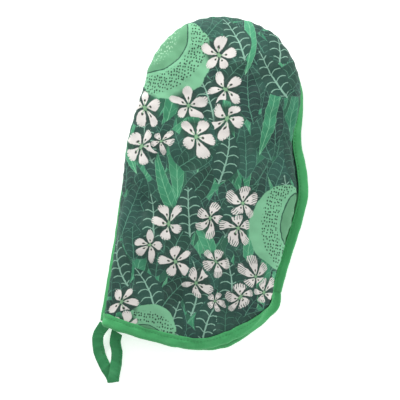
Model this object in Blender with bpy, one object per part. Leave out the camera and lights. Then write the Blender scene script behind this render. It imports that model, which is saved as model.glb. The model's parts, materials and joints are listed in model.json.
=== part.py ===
"""Oven mitt with a pinching thumb, lying palm down: padded panels, tape edges and a hanging loop.

Metres, +Z up. The fingers point along +Y and the cuff is at the -Y end. The mitt is drawn with
y = 0 at the lowest point of the cuff and x = 0 at its middle line, and then moved so that the
middle of the whole object, loop included, stands over the origin.

Each panel is a stack of three cloths: a printed shell, a wadding and a lining. A panel is drawn
once, as its outer surface, and its cloths are that surface moved inwards by their depths.
"""
import math

import bmesh
import bpy
from mathutils import Vector

# ---------------------------------------------------------------- cloths and tape
SHELL = 0.0008            # printed cotton
WADDING = 0.0030
LINING = 0.0008
GAP = 0.0003              # between cloths that touch
LAYERS = {
    "shell": (0.0, SHELL),
    "wadding": (SHELL + GAP, SHELL + GAP + WADDING),
    "lining": (SHELL + WADDING + 2 * GAP, SHELL + WADDING + LINING + 2 * GAP),
}
STACK = LAYERS["lining"][1]

TAPE = 0.0008             # folded bias tape, each leg
TAPE_WIDTH = 0.0120       # finished width of the binding
ALLOWANCE = 0.0100        # seam allowance inside the binding
TAPE_REACH = [0, 1, 1, 0, 0, 1, 1, 0]   # which corners of a tape's section lie at its fold
THREAD = 0.0003           # thread radius
STITCH_IN = 0.0038        # stitch line, from the seam
TAPE_START = (0.0020, 0.0040)           # tape edges over and under, from the seam

# ---------------------------------------------------------------- main sizes
DOME = 0.250              # where the straight body turns into the round finger end
TIP = 0.331
MOUTH = 0.215             # crotch line between fingers and thumb
CUFF_LEFT = 0.009         # height of the cuff's left corner over its lowest point
CUFF_RIGHT = 0.068        # the same for the rounded right corner
TOP = [(0.0, 0.040), (0.06, 0.052), (0.14, 0.062), (DOME, 0.062)]   # back, along y
UNDERSIDE = [(0.0, 0.0022), (0.012, 0.0022), (0.04, 0.0)]    # palm, from the cuff edge in
BELLY = 0.029             # underside of the finger pocket
CENTRE = Vector((-0.003, DOME))

# Widest line of the back panel, left and right: (y, x).
LEFT = [(0.0, -0.083), (0.09, -0.084), (0.15, -0.0865), (0.19, -0.0885), (0.22, -0.0855),
        (DOME, -0.081)]
RIGHT = [(0.06, 0.0775), (0.10, 0.0805), (0.145, 0.0855), (0.165, 0.0865), (0.19, 0.081),
         (0.215, 0.0735), (DOME, 0.075)]

# The outline is counted by q: 0..1 round the finger end, below 0 down the left side and
# above 1 down the right side, one unit for each 100 mm.
SIDE_UNIT = 0.100
SEAM_Z = [(-2.41, 0.014), (-1.2, 0.026), (-0.4, 0.033), (0.0, 0.031), (0.5, 0.016),
          (1.0, 0.031), (1.35, 0.034), (2.0, 0.030), (2.82, 0.020)]
TUCK_IN = [(-2.41, 0.005), (0.0, 0.006), (0.5, 0.006), (1.0, 0.004), (1.35, 0.001), (2.82, 0.001)]
TUCK_DOWN = [(-2.41, 0.006), (0.0, 0.008), (0.5, 0.009), (1.0, 0.007), (1.35, 0.004),
             (2.82, 0.004)]
HANG = [(-2.41, 40.0), (-0.9, 48.0), (-0.35, 56.0), (0.1, 74.0), (0.8, 76.0), (1.0, 48.0),
        (1.2, 26.0), (1.45, 8.0), (1.7, 0.0), (2.82, 0.0)]      # droop of the bound edge, in degrees

FLATTEN = 1.08            # the underside is pressed flat in its middle by this much
FULL = 2.2                # squareness of the panels' curves: 2 is an ellipse
ROWS = [90, 70, 52, 36, 20, 7]     # degrees, from a panel's middle line to its side
FLAT_ROWS = [0.0, 0.3, 0.58, 0.82]     # shares of the way out, on the pocket's flat panels
PALM_ROWS = ROWS[:-1]
CUFF_ROWS = len(PALM_ROWS)              # the cuff tapes stop one row short of the seams
STATIONS = [0.0, 0.22, 0.42, 0.60, 0.76, 0.88, 1.0]      # from the cuff tape's inner edge to the mouth
NECK = [0.33, 0.67]       # the same, from the mouth to the round finger end
ROUND = 15                # spans round the finger end
SWING_SIDE = 0.85          # share of half the width, past which the palm runs on to the mouth

# ---------------------------------------------------------------- thumb
HINGE = Vector((0.0, MOUTH, 0.0254))
THUMB_X = -0.005
THUMB_HALF = 0.058
THUMB_REAR = 0.201
THUMB_DOME = 0.238
THUMB_TIP = 0.288
THUMB_TOP = 0.028
THUMB_SEAM = [(0.0, 0.016), (0.5, 0.012), (1.0, 0.016)]
THUMB_ROUND = 11
THUMB_EDGE = 0.226        # the thumb's bound edge starts here, clear of the hinge
SWING = 0.0296            # palm panel ends on this radius round the hinge

# ---------------------------------------------------------------- hanging loop
LOOP_WIDTH = 0.0115
LOOP_THICK = 0.0014
LOOP_DOWN = [(-0.0817, 0.0060, 0.0095), (-0.0865, -0.007, 0.0066), (-0.083, -0.022, 0.0030),
             (-0.076, -0.034, 0.0012), (-0.0668, -0.045, 0.0009)]
LOOP_FOLD = (-0.0638, -0.0502, 0.0021)
LOOP_UP = [(-0.0640, -0.045, 0.0034), (-0.0640, -0.032, 0.0040), (-0.0650, -0.020, 0.0050),
           (-0.0684, -0.010, 0.0072), (-0.0682, 0.0004, 0.0095)]
FOLD_LINE = Vector((0.957, 0.290, 0.0))

COLOURS = {
    "print": (0.070, 0.150, 0.115),
    "wadding": (0.780, 0.770, 0.730),
    "lining": (0.720, 0.700, 0.640),
    "tape": (0.095, 0.390, 0.165),
    "thread": (0.060, 0.290, 0.125),
}


def smooth(points, x):
    """The value at x of a smooth curve through (x, value) points."""
    if x <= points[0][0]:
        return points[0][1]
    if x >= points[-1][0]:
        return points[-1][1]
    i = max(k for k in range(len(points) - 1) if points[k][0] <= x)

    def slope(k):
        a, b = points[max(k - 1, 0)], points[min(k + 1, len(points) - 1)]
        return (b[1] - a[1]) / (b[0] - a[0])

    (x0, y0), (x1, y1) = points[i], points[i + 1]
    span = x1 - x0
    t = (x - x0) / span
    return ((2 * t**3 - 3 * t**2 + 1) * y0 + (t**3 - 2 * t**2 + t) * span * slope(i)
            + (3 * t**2 - 2 * t**3) * y1 + (t**3 - t**2) * span * slope(i + 1))


def quarter(degrees, full=FULL):
    """Across and up shares of a rounded quarter curve, at an angle from its side."""
    a = math.radians(degrees)
    return max(math.cos(a), 0.0) ** (2 / full), math.sin(a) ** (2 / full)


# ---------------------------------------------------------------- outline and seam

def outline(q):
    """The widest line of the mitt in plan."""
    if q < 0:
        y = DOME + q * SIDE_UNIT
        return Vector((smooth(LEFT, y), y))
    if q > 1:
        y = DOME - (q - 1) * SIDE_UNIT
        return Vector((smooth(RIGHT, y), y))
    a = math.pi * q
    across = -math.cos(a)
    reach = (RIGHT[-1][1] if across > 0 else -LEFT[-1][1]) + (CENTRE.x if across < 0 else -CENTRE.x)
    x = math.copysign(abs(across) ** (2 / 2.1), across)
    return Vector((CENTRE.x + reach * x, DOME + (TIP - DOME) * math.sin(a) ** (2 / 2.1)))


def thumb_outline(q):
    """The widest line of the thumb in plan, counted the same way."""
    if q < 0:
        return Vector((THUMB_X - THUMB_HALF, THUMB_DOME + q * SIDE_UNIT))
    if q > 1:
        return Vector((THUMB_X + THUMB_HALF, THUMB_DOME - (q - 1) * SIDE_UNIT))
    a = math.pi * q
    across = -math.cos(a)
    x = math.copysign(abs(across) ** (2 / 2.3), across)
    reach = THUMB_TIP - THUMB_DOME
    return Vector((THUMB_X + THUMB_HALF * x, THUMB_DOME + reach * math.sin(a) ** (2 / 2.3)))


def outward(line, q):
    """The direction square to the outline, away from the mitt."""
    step = 0.004
    run = line(q + step) - line(q - step)
    return Vector((-run.y, run.x, 0.0)).normalized()


class Rim:
    """The edge of the mitt or thumb at q: its widest point, its seam and its bound edge."""

    def __init__(self, q, line, seam_z, tuck_in=0.0, tuck_down=0.0, hang=0.0, lift=0.0,
                 allowance=ALLOWANCE):
        out = outward(line, q)
        plan = line(q).to_3d()
        up = Vector((0.0, 0.0, 1.0))
        angle = math.radians(hang)
        self.q = q
        self.y = plan.y
        self.seam = plan - out * tuck_in + up * seam_z
        self.side = plan + up * (seam_z + tuck_down)
        self.along = out * math.cos(angle) - up * math.sin(angle)
        self.over = out * math.sin(angle) + up * math.cos(angle)
        self.inward = (up * lift - out).normalized() * (1 + 0.25 * lift)
        self.allowance = allowance


def mitt_rim(q):
    pocket = smooth([(-0.6, 0.0), (-0.3, 0.8), (1.3, 0.8), (1.6, 0.0)], q)
    return Rim(q, outline, smooth(SEAM_Z, q), smooth(TUCK_IN, q), smooth(TUCK_DOWN, q),
               smooth(HANG, q), pocket)


def thumb_rim(q):
    free = thumb_outline(q).y >= THUMB_EDGE
    return Rim(q, thumb_outline, smooth(THUMB_SEAM, q), allowance=ALLOWANCE if free else 0.0006)


def left_q(y, dome=DOME):
    return (y - dome) / SIDE_UNIT


def right_q(y, dome=DOME):
    return 1 + (dome - y) / SIDE_UNIT


# ---------------------------------------------------------------- panel surfaces
# A panel is a list of columns, from the left of the cuff or mouth, round the end and back to the
# right. A column holds its points from the middle line out to the side, then its rim.

def cuff_line(w):
    """y of the cuff edge, w from -1 at the left side to 1 at the right."""
    if w < 0:
        return CUFF_LEFT * w * w
    return CUFF_RIGHT * (1 - math.sqrt(1 - min(w, 1.0) ** 2))


def tape_line(w):
    """y of the cuff tape's inner edge, one tape width in from the cuff."""
    step = 0.01
    a, b = max(w - step, -1.0), min(w + step, 1.0)
    slope = (cuff_line(b) - cuff_line(a)) / ((b - a) * outline(right_q(CUFF_RIGHT)).x)
    return cuff_line(w) + TAPE_WIDTH * min(math.hypot(1, slope), 2.6)


def station_y(share, w):
    """y at w across, for a share of the way from the tape's edge to the mouth; below 0, the cuff."""
    if share < 0:
        return cuff_line(w)
    if share > 1:
        return MOUTH + (DOME - MOUTH) * (share - 1)
    return tape_line(w) + (MOUTH - tape_line(w)) * share


def station(share, end=None):
    """The two rims, left and right, at one station of the body."""
    ends = [station_y(share, w) if end is None else end for w in (-1, 1)]
    return mitt_rim(left_q(ends[0])), mitt_rim(right_q(ends[1]))


def across(rims, points, w):
    """x at w across, between the two rims' points."""
    a, b = (getattr(rim, points).x for rim in rims)
    return (a + b) / 2 + w * (b - a) / 2


def back_columns():
    shares = [-1.0] + STATIONS + [1 + share for share in NECK]
    halves = []
    for side in (0, 1):
        half = []
        for share in shares:
            rims = station(share)
            top = smooth(TOP, station_y(share, 0.0))
            rim = rims[side]
            points = []
            for degrees in ROWS:
                w, h = quarter(degrees)
                w = w if side else -w
                x = across(rims, "side", w)
                points.append(Vector((x, station_y(share, w), rim.side.z + (top - rim.side.z) * h)))
            half.append((points, rim))
        halves.append(half)
    round_end = []
    for k in range(ROUND + 1):
        rim = mitt_rim(k / ROUND)
        points = []
        for degrees in ROWS:
            w, h = quarter(degrees)
            plan = CENTRE.to_3d() + (rim.side - CENTRE.to_3d()) * w
            z = rim.side.z + (TOP[-1][1] - rim.side.z) * h
            points.append(Vector((plan.x, plan.y, z)))
        round_end.append((points, rim))
    return [halves[0] + round_end + halves[1][::-1]]


def palm_columns():
    shares = [-1.0] + STATIONS
    halves = []
    for side in (0, 1):
        half = []
        for share in shares:
            rims = station(share, MOUTH - GAP if share == 1.0 else None)
            rim = rims[side]
            points = []
            for degrees in PALM_ROWS:
                w, h = quarter(degrees)
                w = w if side else -w
                y = station_y(share, w)
                low = smooth(UNDERSIDE, y - cuff_line(w))
                z = rim.seam.z + (low - rim.seam.z) * min(h * FLATTEN, 1.0)
                if share > 0 and abs(w) <= SWING_SIDE:
                    y = tape_line(w) + (swing_y(z) - tape_line(w)) * share
                points.append(Vector((across(rims, "seam", w), y, z)))
            half.append((points, rim))
        halves.append(half)
    return [halves[0], halves[1][::-1]]


def swing_y(z):
    """y on the round that the thumb's heel clears as it swings, behind the hinge."""
    return HINGE.y - math.sqrt(SWING**2 - (HINGE.z - z) ** 2)


def dish_columns(rims, centre, rows, heights):
    """Columns from a middle line out to the rims' seams, for a shallow panel."""
    columns = []
    for rim in rims:
        straight = rim.q < 0 or rim.q > 1
        middle = Vector((centre.x, rim.y if straight else centre.y, 0.0))
        points = []
        for r in rows:
            plan = middle + (rim.seam - middle) * r
            points.append(Vector((plan.x, plan.y, heights(rim, r))))
        columns.append((points, rim))
    return [columns]


def ends_of(first, start, dome, count, rim_of):
    """Rims from the straight left side, round the end and back down the right side."""
    ys = [start] + first
    left = [rim_of(left_q(y, dome)) for y in ys]
    end = [rim_of(k / count) for k in range(count + 1)]
    right = [rim_of(right_q(y, dome)) for y in reversed(ys)]
    return left + end + right


def finger_palm_columns():
    neck = [MOUTH + (DOME - MOUTH) * share for share in NECK]
    rims = ends_of(neck, MOUTH + GAP, DOME, ROUND, mitt_rim)

    def height(rim, r):
        return rim.seam.z + (BELLY - rim.seam.z) * (1 - r * r)

    return dish_columns(rims, CENTRE, FLAT_ROWS, height)


def thumb_columns(start, first, low):
    """The thumb's upper panel where low is its top height, or its lower panel where low is 0."""
    rims = ends_of(first, start, THUMB_DOME, THUMB_ROUND, thumb_rim)
    middle = Vector((THUMB_X, THUMB_DOME))

    def height(rim, r):
        share = (1 - r**2.6) ** (1 / 2.2)
        return rim.seam.z + (low - rim.seam.z) * min(share * FLATTEN, 1.0)

    return dish_columns(rims, middle, FLAT_ROWS + [0.96], height)


# ---------------------------------------------------------------- solids

def add_object(name, mesh, colour):
    obj = bpy.data.objects.new(name, mesh)
    material = bpy.data.materials.new(name)
    material.use_nodes = True
    shader = material.node_tree.nodes["Principled BSDF"]
    shader.inputs["Base Color"].default_value = (*COLOURS[colour], 1.0)
    shader.inputs["Roughness"].default_value = 0.9
    shader.inputs["Metallic"].default_value = 0.0
    mesh.materials.append(material)
    collection.objects.link(obj)
    return obj


def solid_between(name, surfaces, faces, colour):
    """A closed solid between two surfaces that have the same faces."""
    bm = bmesh.new()
    skins = [[bm.verts.new(p) for p in skin] for skin in surfaces]
    for face in faces:
        bm.faces.new([skins[0][i] for i in face])
        bm.faces.new([skins[1][i] for i in reversed(face)])
    edges = {}
    for face in faces:
        for a, b in zip(face, face[1:] + face[:1]):
            edges[frozenset((a, b))] = None if frozenset((a, b)) in edges else (a, b)
    for edge in edges.values():
        if edge:
            a, b = edge
            bm.faces.new([skins[0][b], skins[0][a], skins[1][a], skins[1][b]])
    bmesh.ops.recalc_face_normals(bm, faces=bm.faces)
    mesh = bpy.data.meshes.new(name)
    bm.to_mesh(mesh)
    bm.free()
    return add_object(name, mesh, colour)


def surface(runs, above):
    """Points, faces and outward normals of a panel's outer surface, seam row included."""
    keys, points, faces, index = {}, [], [], []
    for column, rim in (pair for run in runs for pair in run):
        row = []
        for p in column + [rim.seam + rim.over * ((SHELL + GAP / 2) * above)]:
            key = tuple(round(c, 7) for c in p)
            if key not in keys:
                keys[key] = len(points)
                points.append(p)
            row.append(keys[key])
        index.append(row)
    for a, b in neighbours(runs, index):
        for i in range(len(a) - 1):
            faces += triangles(a[i], b[i], b[i + 1], a[i + 1])
    bm = bmesh.new()
    verts = [bm.verts.new(p) for p in points]
    for face in faces:
        bm.faces.new([verts[i] for i in face])
    bm.normal_update()
    tilt = sum(face.normal.z * face.calc_area() for face in bm.faces)
    sign = math.copysign(1.0, tilt * above)
    normals = [v.normal * sign for v in verts]
    bm.free()
    return points, faces, normals, index


def triangles(a, b, c, d):
    """A four-cornered face cut the same way in every layer, less any side of no length."""
    return [t for t in ([a, b, c], [a, c, d]) if len(set(t)) == 3]


def neighbours(runs, items):
    """Pairs of items that stand side by side in a run of columns."""
    start = 0
    for run in runs:
        part = items[start:start + len(run)]
        yield from zip(part, part[1:])
        start += len(run)


def panel(name, runs, above, swings=False):
    """The three cloths of a panel; above is 1 for an upper panel and -1 for a lower one."""
    points, faces, normals, index = surface(runs, above)
    rims = [rim for run in runs for _, rim in run]
    mouth = [k for k, rim in enumerate(rims) if swings and rim.y > MOUTH - 0.001]
    for (layer, depths), colour in zip(LAYERS.items(), ("print", "wadding", "lining")):
        skins = []
        for depth in depths:
            skin = [p - n * depth for p, n in zip(points, normals)]
            for rim, row in zip(rims, index):
                skin[row[-1]] = seam_point(rim, above, depth)
            for k in mouth:
                for i in index[k][:-1]:
                    if points[i].y < MOUTH - 0.005:
                        skin[i].y = swing_y(skin[i].z)
            skins.append(skin)
        use = faces + (allowance_faces(runs, rims, index, skins, above) if layer == "shell" else [])
        solid_between(f"{name}_{layer}", skins, use, colour)
    return points, normals, index, rims


def seam_point(rim, above, depth):
    """Where a depth of an upper or lower panel lies at the seam."""
    if depth <= SHELL:
        return rim.seam + rim.over * (above * (SHELL + GAP / 2 - depth))
    return rim.seam + rim.over * (above * 0.0004) + rim.inward * depth


def allowance_faces(runs, rims, index, skins, above):
    """Carries the shell on past the seam, into the binding."""
    ends = []
    for rim, row in zip(rims, index):
        ends.append((row[-1], len(skins[0])))
        for skin, depth in zip(skins, LAYERS["shell"]):
            lift = above * (SHELL + GAP / 2 - depth)
            skin.append(rim.seam + rim.along * rim.allowance + rim.over * lift)
    return [t for a, b in neighbours(runs, ends) for t in triangles(a[0], b[0], b[1], a[1])]


def sweep(name, sections, colour, reach=None):
    """A solid through a run of sections, each a ring of points.

    Where the sections twist, each face is cut from a point near the seam to one further out on
    the next section, as the panels' faces are; reach says how far out each point of a ring is.
    """
    bm = bmesh.new()
    rings = [[bm.verts.new(p) for p in ring] for ring in sections]
    count = len(rings[0])
    reach = reach or [0] * count
    for a, b in zip(rings, rings[1:]):
        for i in range(count):
            j = (i + 1) % count
            if reach[i] <= reach[j]:
                bm.faces.new([a[i], a[j], b[j]])
                bm.faces.new([a[i], b[j], b[i]])
            else:
                bm.faces.new([a[i], a[j], b[i]])
                bm.faces.new([a[j], b[j], b[i]])
    bm.faces.new(rings[0][::-1])
    bm.faces.new(rings[-1])
    bmesh.ops.recalc_face_normals(bm, faces=bm.faces)
    mesh = bpy.data.meshes.new(name)
    bm.to_mesh(mesh)
    bm.free()
    return add_object(name, mesh, colour)


def thread(name, points, colour="thread"):
    """A line of stitching, as one thread."""
    curve = bpy.data.curves.new(name, "CURVE")
    curve.dimensions = "3D"
    curve.bevel_depth = THREAD
    curve.bevel_resolution = 0
    curve.use_fill_caps = True
    spline = curve.splines.new("POLY")
    spline.points.add(len(points) - 1)
    for point, p in zip(spline.points, points):
        point.co = (*p, 1.0)
    return add_object(name, curve, colour)


def edge_binding(name, rims):
    """Folded tape round the seam allowances, with its line of stitches."""
    face = SHELL + 2.5 * GAP
    outer = face + TAPE
    fold = ALLOWANCE + GAP
    top, under = TAPE_START
    profile = [(top, outer), (fold + TAPE, outer), (fold + TAPE, -outer), (under, -outer),
               (under, -face), (fold, -face), (fold, face), (top, face)]
    sections = [[r.seam + r.along * x + r.over * y for x, y in profile] for r in rims]
    sweep(name, sections, "tape", TAPE_REACH)
    lift = outer + 2 * GAP + THREAD
    thread(name + "_thread", [r.seam + r.along * STITCH_IN + r.over * lift for r in rims[1:-1]])


def cuff_binding(name, points, normals, index, _):
    """Folded tape over the cuff edge of a whole panel stack, with its line of stitches."""
    left = list(zip(index[0][:CUFF_ROWS], index[1]))
    right = list(zip(index[-1][:CUFF_ROWS], index[-2]))
    near, far = -GAP, STACK + GAP
    stitch_share = STITCH_IN / TAPE_WIDTH
    sections, stitches = [], []
    for i, j in left[::-1] + right[1:]:
        edge, inner = (points[i], normals[i]), (points[j], normals[j])
        out = (points[i] - points[j]) / TAPE_WIDTH

        def at(place, depth, past=0.0):
            return place[0] + out * past - place[1] * depth

        sections.append([
            at(inner, near - TAPE), at(edge, near - TAPE, GAP + TAPE),
            at(edge, far + TAPE, GAP + TAPE), at(inner, far + TAPE),
            at(inner, far), at(edge, far, GAP), at(edge, near, GAP), at(inner, near)])
        lift = 2 * GAP + TAPE + THREAD
        stitches.append(at(inner, -lift).lerp(at(edge, -lift), stitch_share))
    sweep(name, sections, "tape", TAPE_REACH)
    thread(name + "_thread", stitches)


def hanging_loop():
    """One length of folded tape, out from the corner, folded flat at its end and back."""
    route = ([(Vector(p), 1.0) for p in LOOP_DOWN] + [(Vector(LOOP_FOLD), 0.0)]
             + [(Vector(p), -1.0) for p in LOOP_UP])
    sections = []
    for k, (p, way) in enumerate(route):
        before, after = route[max(k - 1, 0)][0], route[min(k + 1, len(route) - 1)][0]
        run = (after - before).normalized()
        flat = Vector((run.x, run.y, 0.0)).normalized()
        wide = Vector((-flat.y, flat.x, 0.0)) * way if way else FOLD_LINE
        if k in (0, len(route) - 1):
            wide = LOOP_AXIS
        thick = wide.cross(run).normalized()
        w, t = wide * (LOOP_WIDTH / 2), thick * (LOOP_THICK / 2)
        sections.append([p - w - t, p + w - t, p + w + t, p - w + t])
    sweep("hanging_loop", sections, "tape")


for old in list(bpy.data.objects):
    bpy.data.objects.remove(old, do_unlink=True)
collection = bpy.data.collections.new("oven_mitt")
bpy.context.scene.collection.children.link(collection)


LOOP_AXIS = Vector((LOOP_UP[-1][0] - LOOP_DOWN[0][0], LOOP_UP[-1][1] - LOOP_DOWN[0][1], 0.0)).normalized()

back = panel("back", back_columns(), 1)
palm = panel("palm", palm_columns(), -1, swings=True)
panel("finger_palm", finger_palm_columns(), -1)
thumb = panel("thumb_inner", thumb_columns(MOUTH + 0.0008, [THUMB_EDGE], THUMB_TOP), 1)
panel("thumb_outer", thumb_columns(THUMB_REAR, [MOUTH, THUMB_EDGE], 0.0), -1)

cuff_binding("cuff_binding_back", *back)
cuff_binding("cuff_binding_palm", *palm)
edge_binding("side_binding", back[-1])
edge_binding("thumb_binding", thumb[-1][1:-1])
hanging_loop()

# The middle of the whole object is moved over the origin.
bpy.context.view_layer.update()
corners = [obj.matrix_world @ Vector(c) for obj in collection.objects for c in obj.bound_box]
middle = Vector((round((min(c.x for c in corners) + max(c.x for c in corners)) / 2, 4),
                 round((min(c.y for c in corners) + max(c.y for c in corners)) / 2, 4), 0.0))
for obj in collection.objects:
    obj.location = -middle
print("the drawing's zero is now at", -middle)
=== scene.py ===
# %% [markdown]
# # An oven mitt with a pinching thumb
# The mitt lies palm down. Its back is one printed panel, padded and lined. Under it a finger
# pocket and a thumb pocket meet at a deep fold, like a beak. Green bias tape closes the side
# seams and the cuff, and the side tape runs on into a hanging loop. The solid model gives the
# places, and this file makes the cloth around it.

# %% Frame
import json
import math

import bmesh
import bpy
import numpy as np
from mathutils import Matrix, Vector


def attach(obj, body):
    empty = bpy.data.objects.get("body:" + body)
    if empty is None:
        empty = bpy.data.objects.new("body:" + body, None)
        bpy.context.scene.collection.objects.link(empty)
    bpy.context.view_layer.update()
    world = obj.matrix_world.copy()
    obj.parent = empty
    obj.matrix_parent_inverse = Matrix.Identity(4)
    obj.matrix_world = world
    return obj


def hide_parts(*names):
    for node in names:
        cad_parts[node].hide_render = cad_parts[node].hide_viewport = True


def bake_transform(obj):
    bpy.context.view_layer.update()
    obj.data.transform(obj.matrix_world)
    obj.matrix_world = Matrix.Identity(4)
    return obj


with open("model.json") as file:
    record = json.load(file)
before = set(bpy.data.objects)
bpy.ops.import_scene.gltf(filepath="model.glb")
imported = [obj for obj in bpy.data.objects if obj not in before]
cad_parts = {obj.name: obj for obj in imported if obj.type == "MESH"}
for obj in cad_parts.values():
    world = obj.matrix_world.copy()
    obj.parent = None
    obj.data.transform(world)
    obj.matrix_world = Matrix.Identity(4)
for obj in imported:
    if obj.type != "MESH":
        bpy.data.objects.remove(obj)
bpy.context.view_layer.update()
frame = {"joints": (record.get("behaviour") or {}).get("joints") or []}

joints = {joint["name"]: joint for joint in frame["joints"]}
MM = 0.001

# %% [markdown]
# The mitt is drawn with y = 0 at the lowest point of the cuff and x = 0 on its middle line. The
# thumb's hinge is the crotch line between the pockets, so its place in the frame says how far
# the drawing has to move to lie over the solid model.

# %% Places taken from the frame
MOUTH = 0.215
THUMB_X = -0.005
hinge = Vector(joints["thumb_hinge"]["pos_m"])
HOME = np.array([hinge.x - THUMB_X, hinge.y - MOUTH, 0.0])
print("the drawing moves by", HOME.round(4))

# %% [markdown]
# Long smooth edges are drawn from a few points. A cubic through them, with each point's slope
# taken from its neighbours, is enough, and it works on a whole array of places at once.

# %% Smooth lines through a few points
def smooth(points, x):
    """The value at each x of a smooth curve through (x, value) points."""
    xs, ys = np.array(points, float).T
    x = np.clip(np.asarray(x, float), xs[0], xs[-1])
    slopes = np.gradient(ys, xs)
    i = np.clip(np.searchsorted(xs, x, side="right") - 1, 0, len(xs) - 2)
    span = xs[i + 1] - xs[i]
    t = (x - xs[i]) / span
    return ((2 * t**3 - 3 * t**2 + 1) * ys[i] + (t**3 - 2 * t**2 + t) * span * slopes[i]
            + (3 * t**2 - 2 * t**3) * ys[i + 1] + (t**3 - t**2) * span * slopes[i + 1])


def ease(low, high, x):
    """0 below low, 1 above high, and a smooth step between."""
    t = np.clip((np.asarray(x, float) - low) / (high - low), 0, 1)
    return t * t * (3 - 2 * t)


def waver(x, seed, size=1.0):
    """A gentle irregular wave along a length x in metres; size scales its wavelengths."""
    total = 0
    for k, length in enumerate((0.071, 0.043, 0.0272, 0.0167)):
        total = total + np.sin(2 * np.pi * x / (length * size) + seed * (k + 1.7)) / (1 + 0.5 * k)
    return total / 2.6


print("smooth lines ready:", smooth([(0, 0), (1, 1), (2, 0)], [0.5, 1.5]).round(3))

# %% [markdown]
# The outline is the widest line of the mitt. It is counted by q: 0 to 1 round the finger end,
# below 0 down the left side and above 1 down the right side, one unit for each 100 mm. Every
# edge property, such as how far the seam tucks under or how the tape hangs, is a smooth line
# over q, so neighbouring pieces agree with each other.

# %% The outline and its edge
DOME, TIP = 0.250, 0.331
CENTRE = np.array([-0.003, DOME])
SIDE_UNIT = 0.100
LEFT = [(0.0, -0.083), (0.09, -0.084), (0.15, -0.0865), (0.19, -0.0885), (0.22, -0.0855),
        (DOME, -0.081)]
RIGHT = [(0.06, 0.0775), (0.10, 0.0805), (0.145, 0.0855), (0.165, 0.0865), (0.19, 0.081),
         (0.215, 0.0735), (DOME, 0.075)]
Q_CUFF = (-2.41, 2.82)
SEAM_Z = [(-2.41, 0.014), (-1.2, 0.026), (-0.4, 0.033), (0.0, 0.031), (0.5, 0.016),
          (1.0, 0.031), (1.35, 0.034), (2.0, 0.030), (2.82, 0.020)]
TUCK_IN = [(-2.41, 0.005), (0.0, 0.006), (0.5, 0.006), (1.0, 0.004), (1.35, 0.001), (2.82, 0.001)]
TUCK_DOWN = [(-2.41, 0.006), (0.0, 0.008), (0.5, 0.009), (1.0, 0.007), (1.35, 0.004),
             (2.82, 0.004)]
HANG = [(-2.41, 42.0), (-1.5, 52.0), (-0.9, 64.0), (-0.5, 76.0), (0.1, 78.0), (0.8, 76.0), (1.0, 48.0),
        (1.2, 26.0), (1.45, 8.0), (1.7, 0.0), (2.82, 0.0)]


def rounded(a, power):
    """Across and up shares of a rounded quarter, at angle a from its side."""
    return np.maximum(np.cos(a), 0) ** (2 / power), np.maximum(np.sin(a), 0) ** (2 / power)


def outline(q):
    """The widest line in plan, as an array of points."""
    q = np.asarray(q, float)
    a = np.pi * np.clip(q, 0, 1)
    across = -np.sign(np.cos(a)) * np.abs(np.cos(a)) ** (2 / 2.1)
    reach = np.where(across < 0, CENTRE[0] - LEFT[-1][1], RIGHT[-1][1] - CENTRE[0])
    round_x = CENTRE[0] + reach * across
    round_y = DOME + (TIP - DOME) * np.abs(np.sin(a)) ** (2 / 2.1)
    left_y = DOME + np.minimum(q, 0) * SIDE_UNIT
    right_y = DOME - np.maximum(q - 1, 0) * SIDE_UNIT
    x = np.where(q < 0, smooth(LEFT, left_y), np.where(q > 1, smooth(RIGHT, right_y), round_x))
    y = np.where(q < 0, left_y, np.where(q > 1, right_y, round_y))
    return np.stack([x, y], -1)


class Rim:
    """The seam and bound edge at an array of q: points and directions in the drawing's axes."""

    def __init__(self, q, line=outline, seam_z=SEAM_Z, tuck_in=TUCK_IN, tuck_down=TUCK_DOWN,
                 hang=HANG, flutter=3.0):
        self.q = q = np.asarray(q, float)
        step = 0.02
        run = line(q + step) - line(q - step)
        run /= np.linalg.norm(run, axis=-1, keepdims=True)
        out = np.stack([-run[..., 1], run[..., 0], 0 * q], -1)
        up = np.array([0.0, 0.0, 1.0])
        plan = np.concatenate([line(q), (0 * q)[..., None]], -1)
        path = np.cumsum(np.linalg.norm(np.diff(line(q), axis=0, prepend=line(q)[:1]), axis=-1))
        z = smooth(seam_z, q) + 0.0006 * waver(path, 2.0)
        angle = np.radians(smooth(hang, q) + flutter * waver(path, 0.4))
        cos, sin = np.cos(angle)[..., None], np.sin(angle)[..., None]
        self.path = path
        self.out = out
        self.tuck = smooth(tuck_in, q)
        self.drop = smooth(tuck_down, q)
        self.seam = plan - out * self.tuck[..., None] + up * z[..., None]
        self.side = plan + up * (z + self.drop)[..., None]
        self.along = out * cos - up * sin
        self.over = out * sin + up * cos


def left_q(y):
    return (np.asarray(y, float) - DOME) / SIDE_UNIT


def right_q(y):
    return 1 + (DOME - np.asarray(y, float)) / SIDE_UNIT


print("outline across the widest place:", outline([left_q(0.165), right_q(0.165)]).round(4))

# %% [markdown]
# The cuff is cut as one sweep from its left corner to a big round corner on the right. The palm
# panel is cut a few millimetres longer there, so its edge peeks out from under the back.

# %% The cuff edge
CUFF_LEFT, CUFF_RIGHT = 0.009, 0.068
PEEK = [(-1.0, 0.0), (-0.2, 0.0006), (0.25, 0.0022), (0.6, 0.0046), (0.85, 0.0040), (1.0, 0.0)]


def cuff_line(w, peek=0.0):
    """y of the cuff edge, w from -1 at the left side to 1 at the right."""
    w = np.clip(w, -1, 1)
    edge = np.where(w < 0, CUFF_LEFT * w * w, CUFF_RIGHT * (1 - np.sqrt(1 - w * w)))
    return edge - peek * smooth(PEEK, w)


def body_y(t, w, peek=0.0):
    """y at w across, for t from 0 at the cuff to 1 at the mouth and 2 where the round end starts."""
    near = cuff_line(w, peek) + (MOUTH - cuff_line(w, peek)) * np.minimum(t, 1)
    return near + (DOME - MOUTH) * np.maximum(t - 1, 0)


print("cuff corners at y =", cuff_line(np.array([-1.0, 1.0])).round(4))

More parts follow.
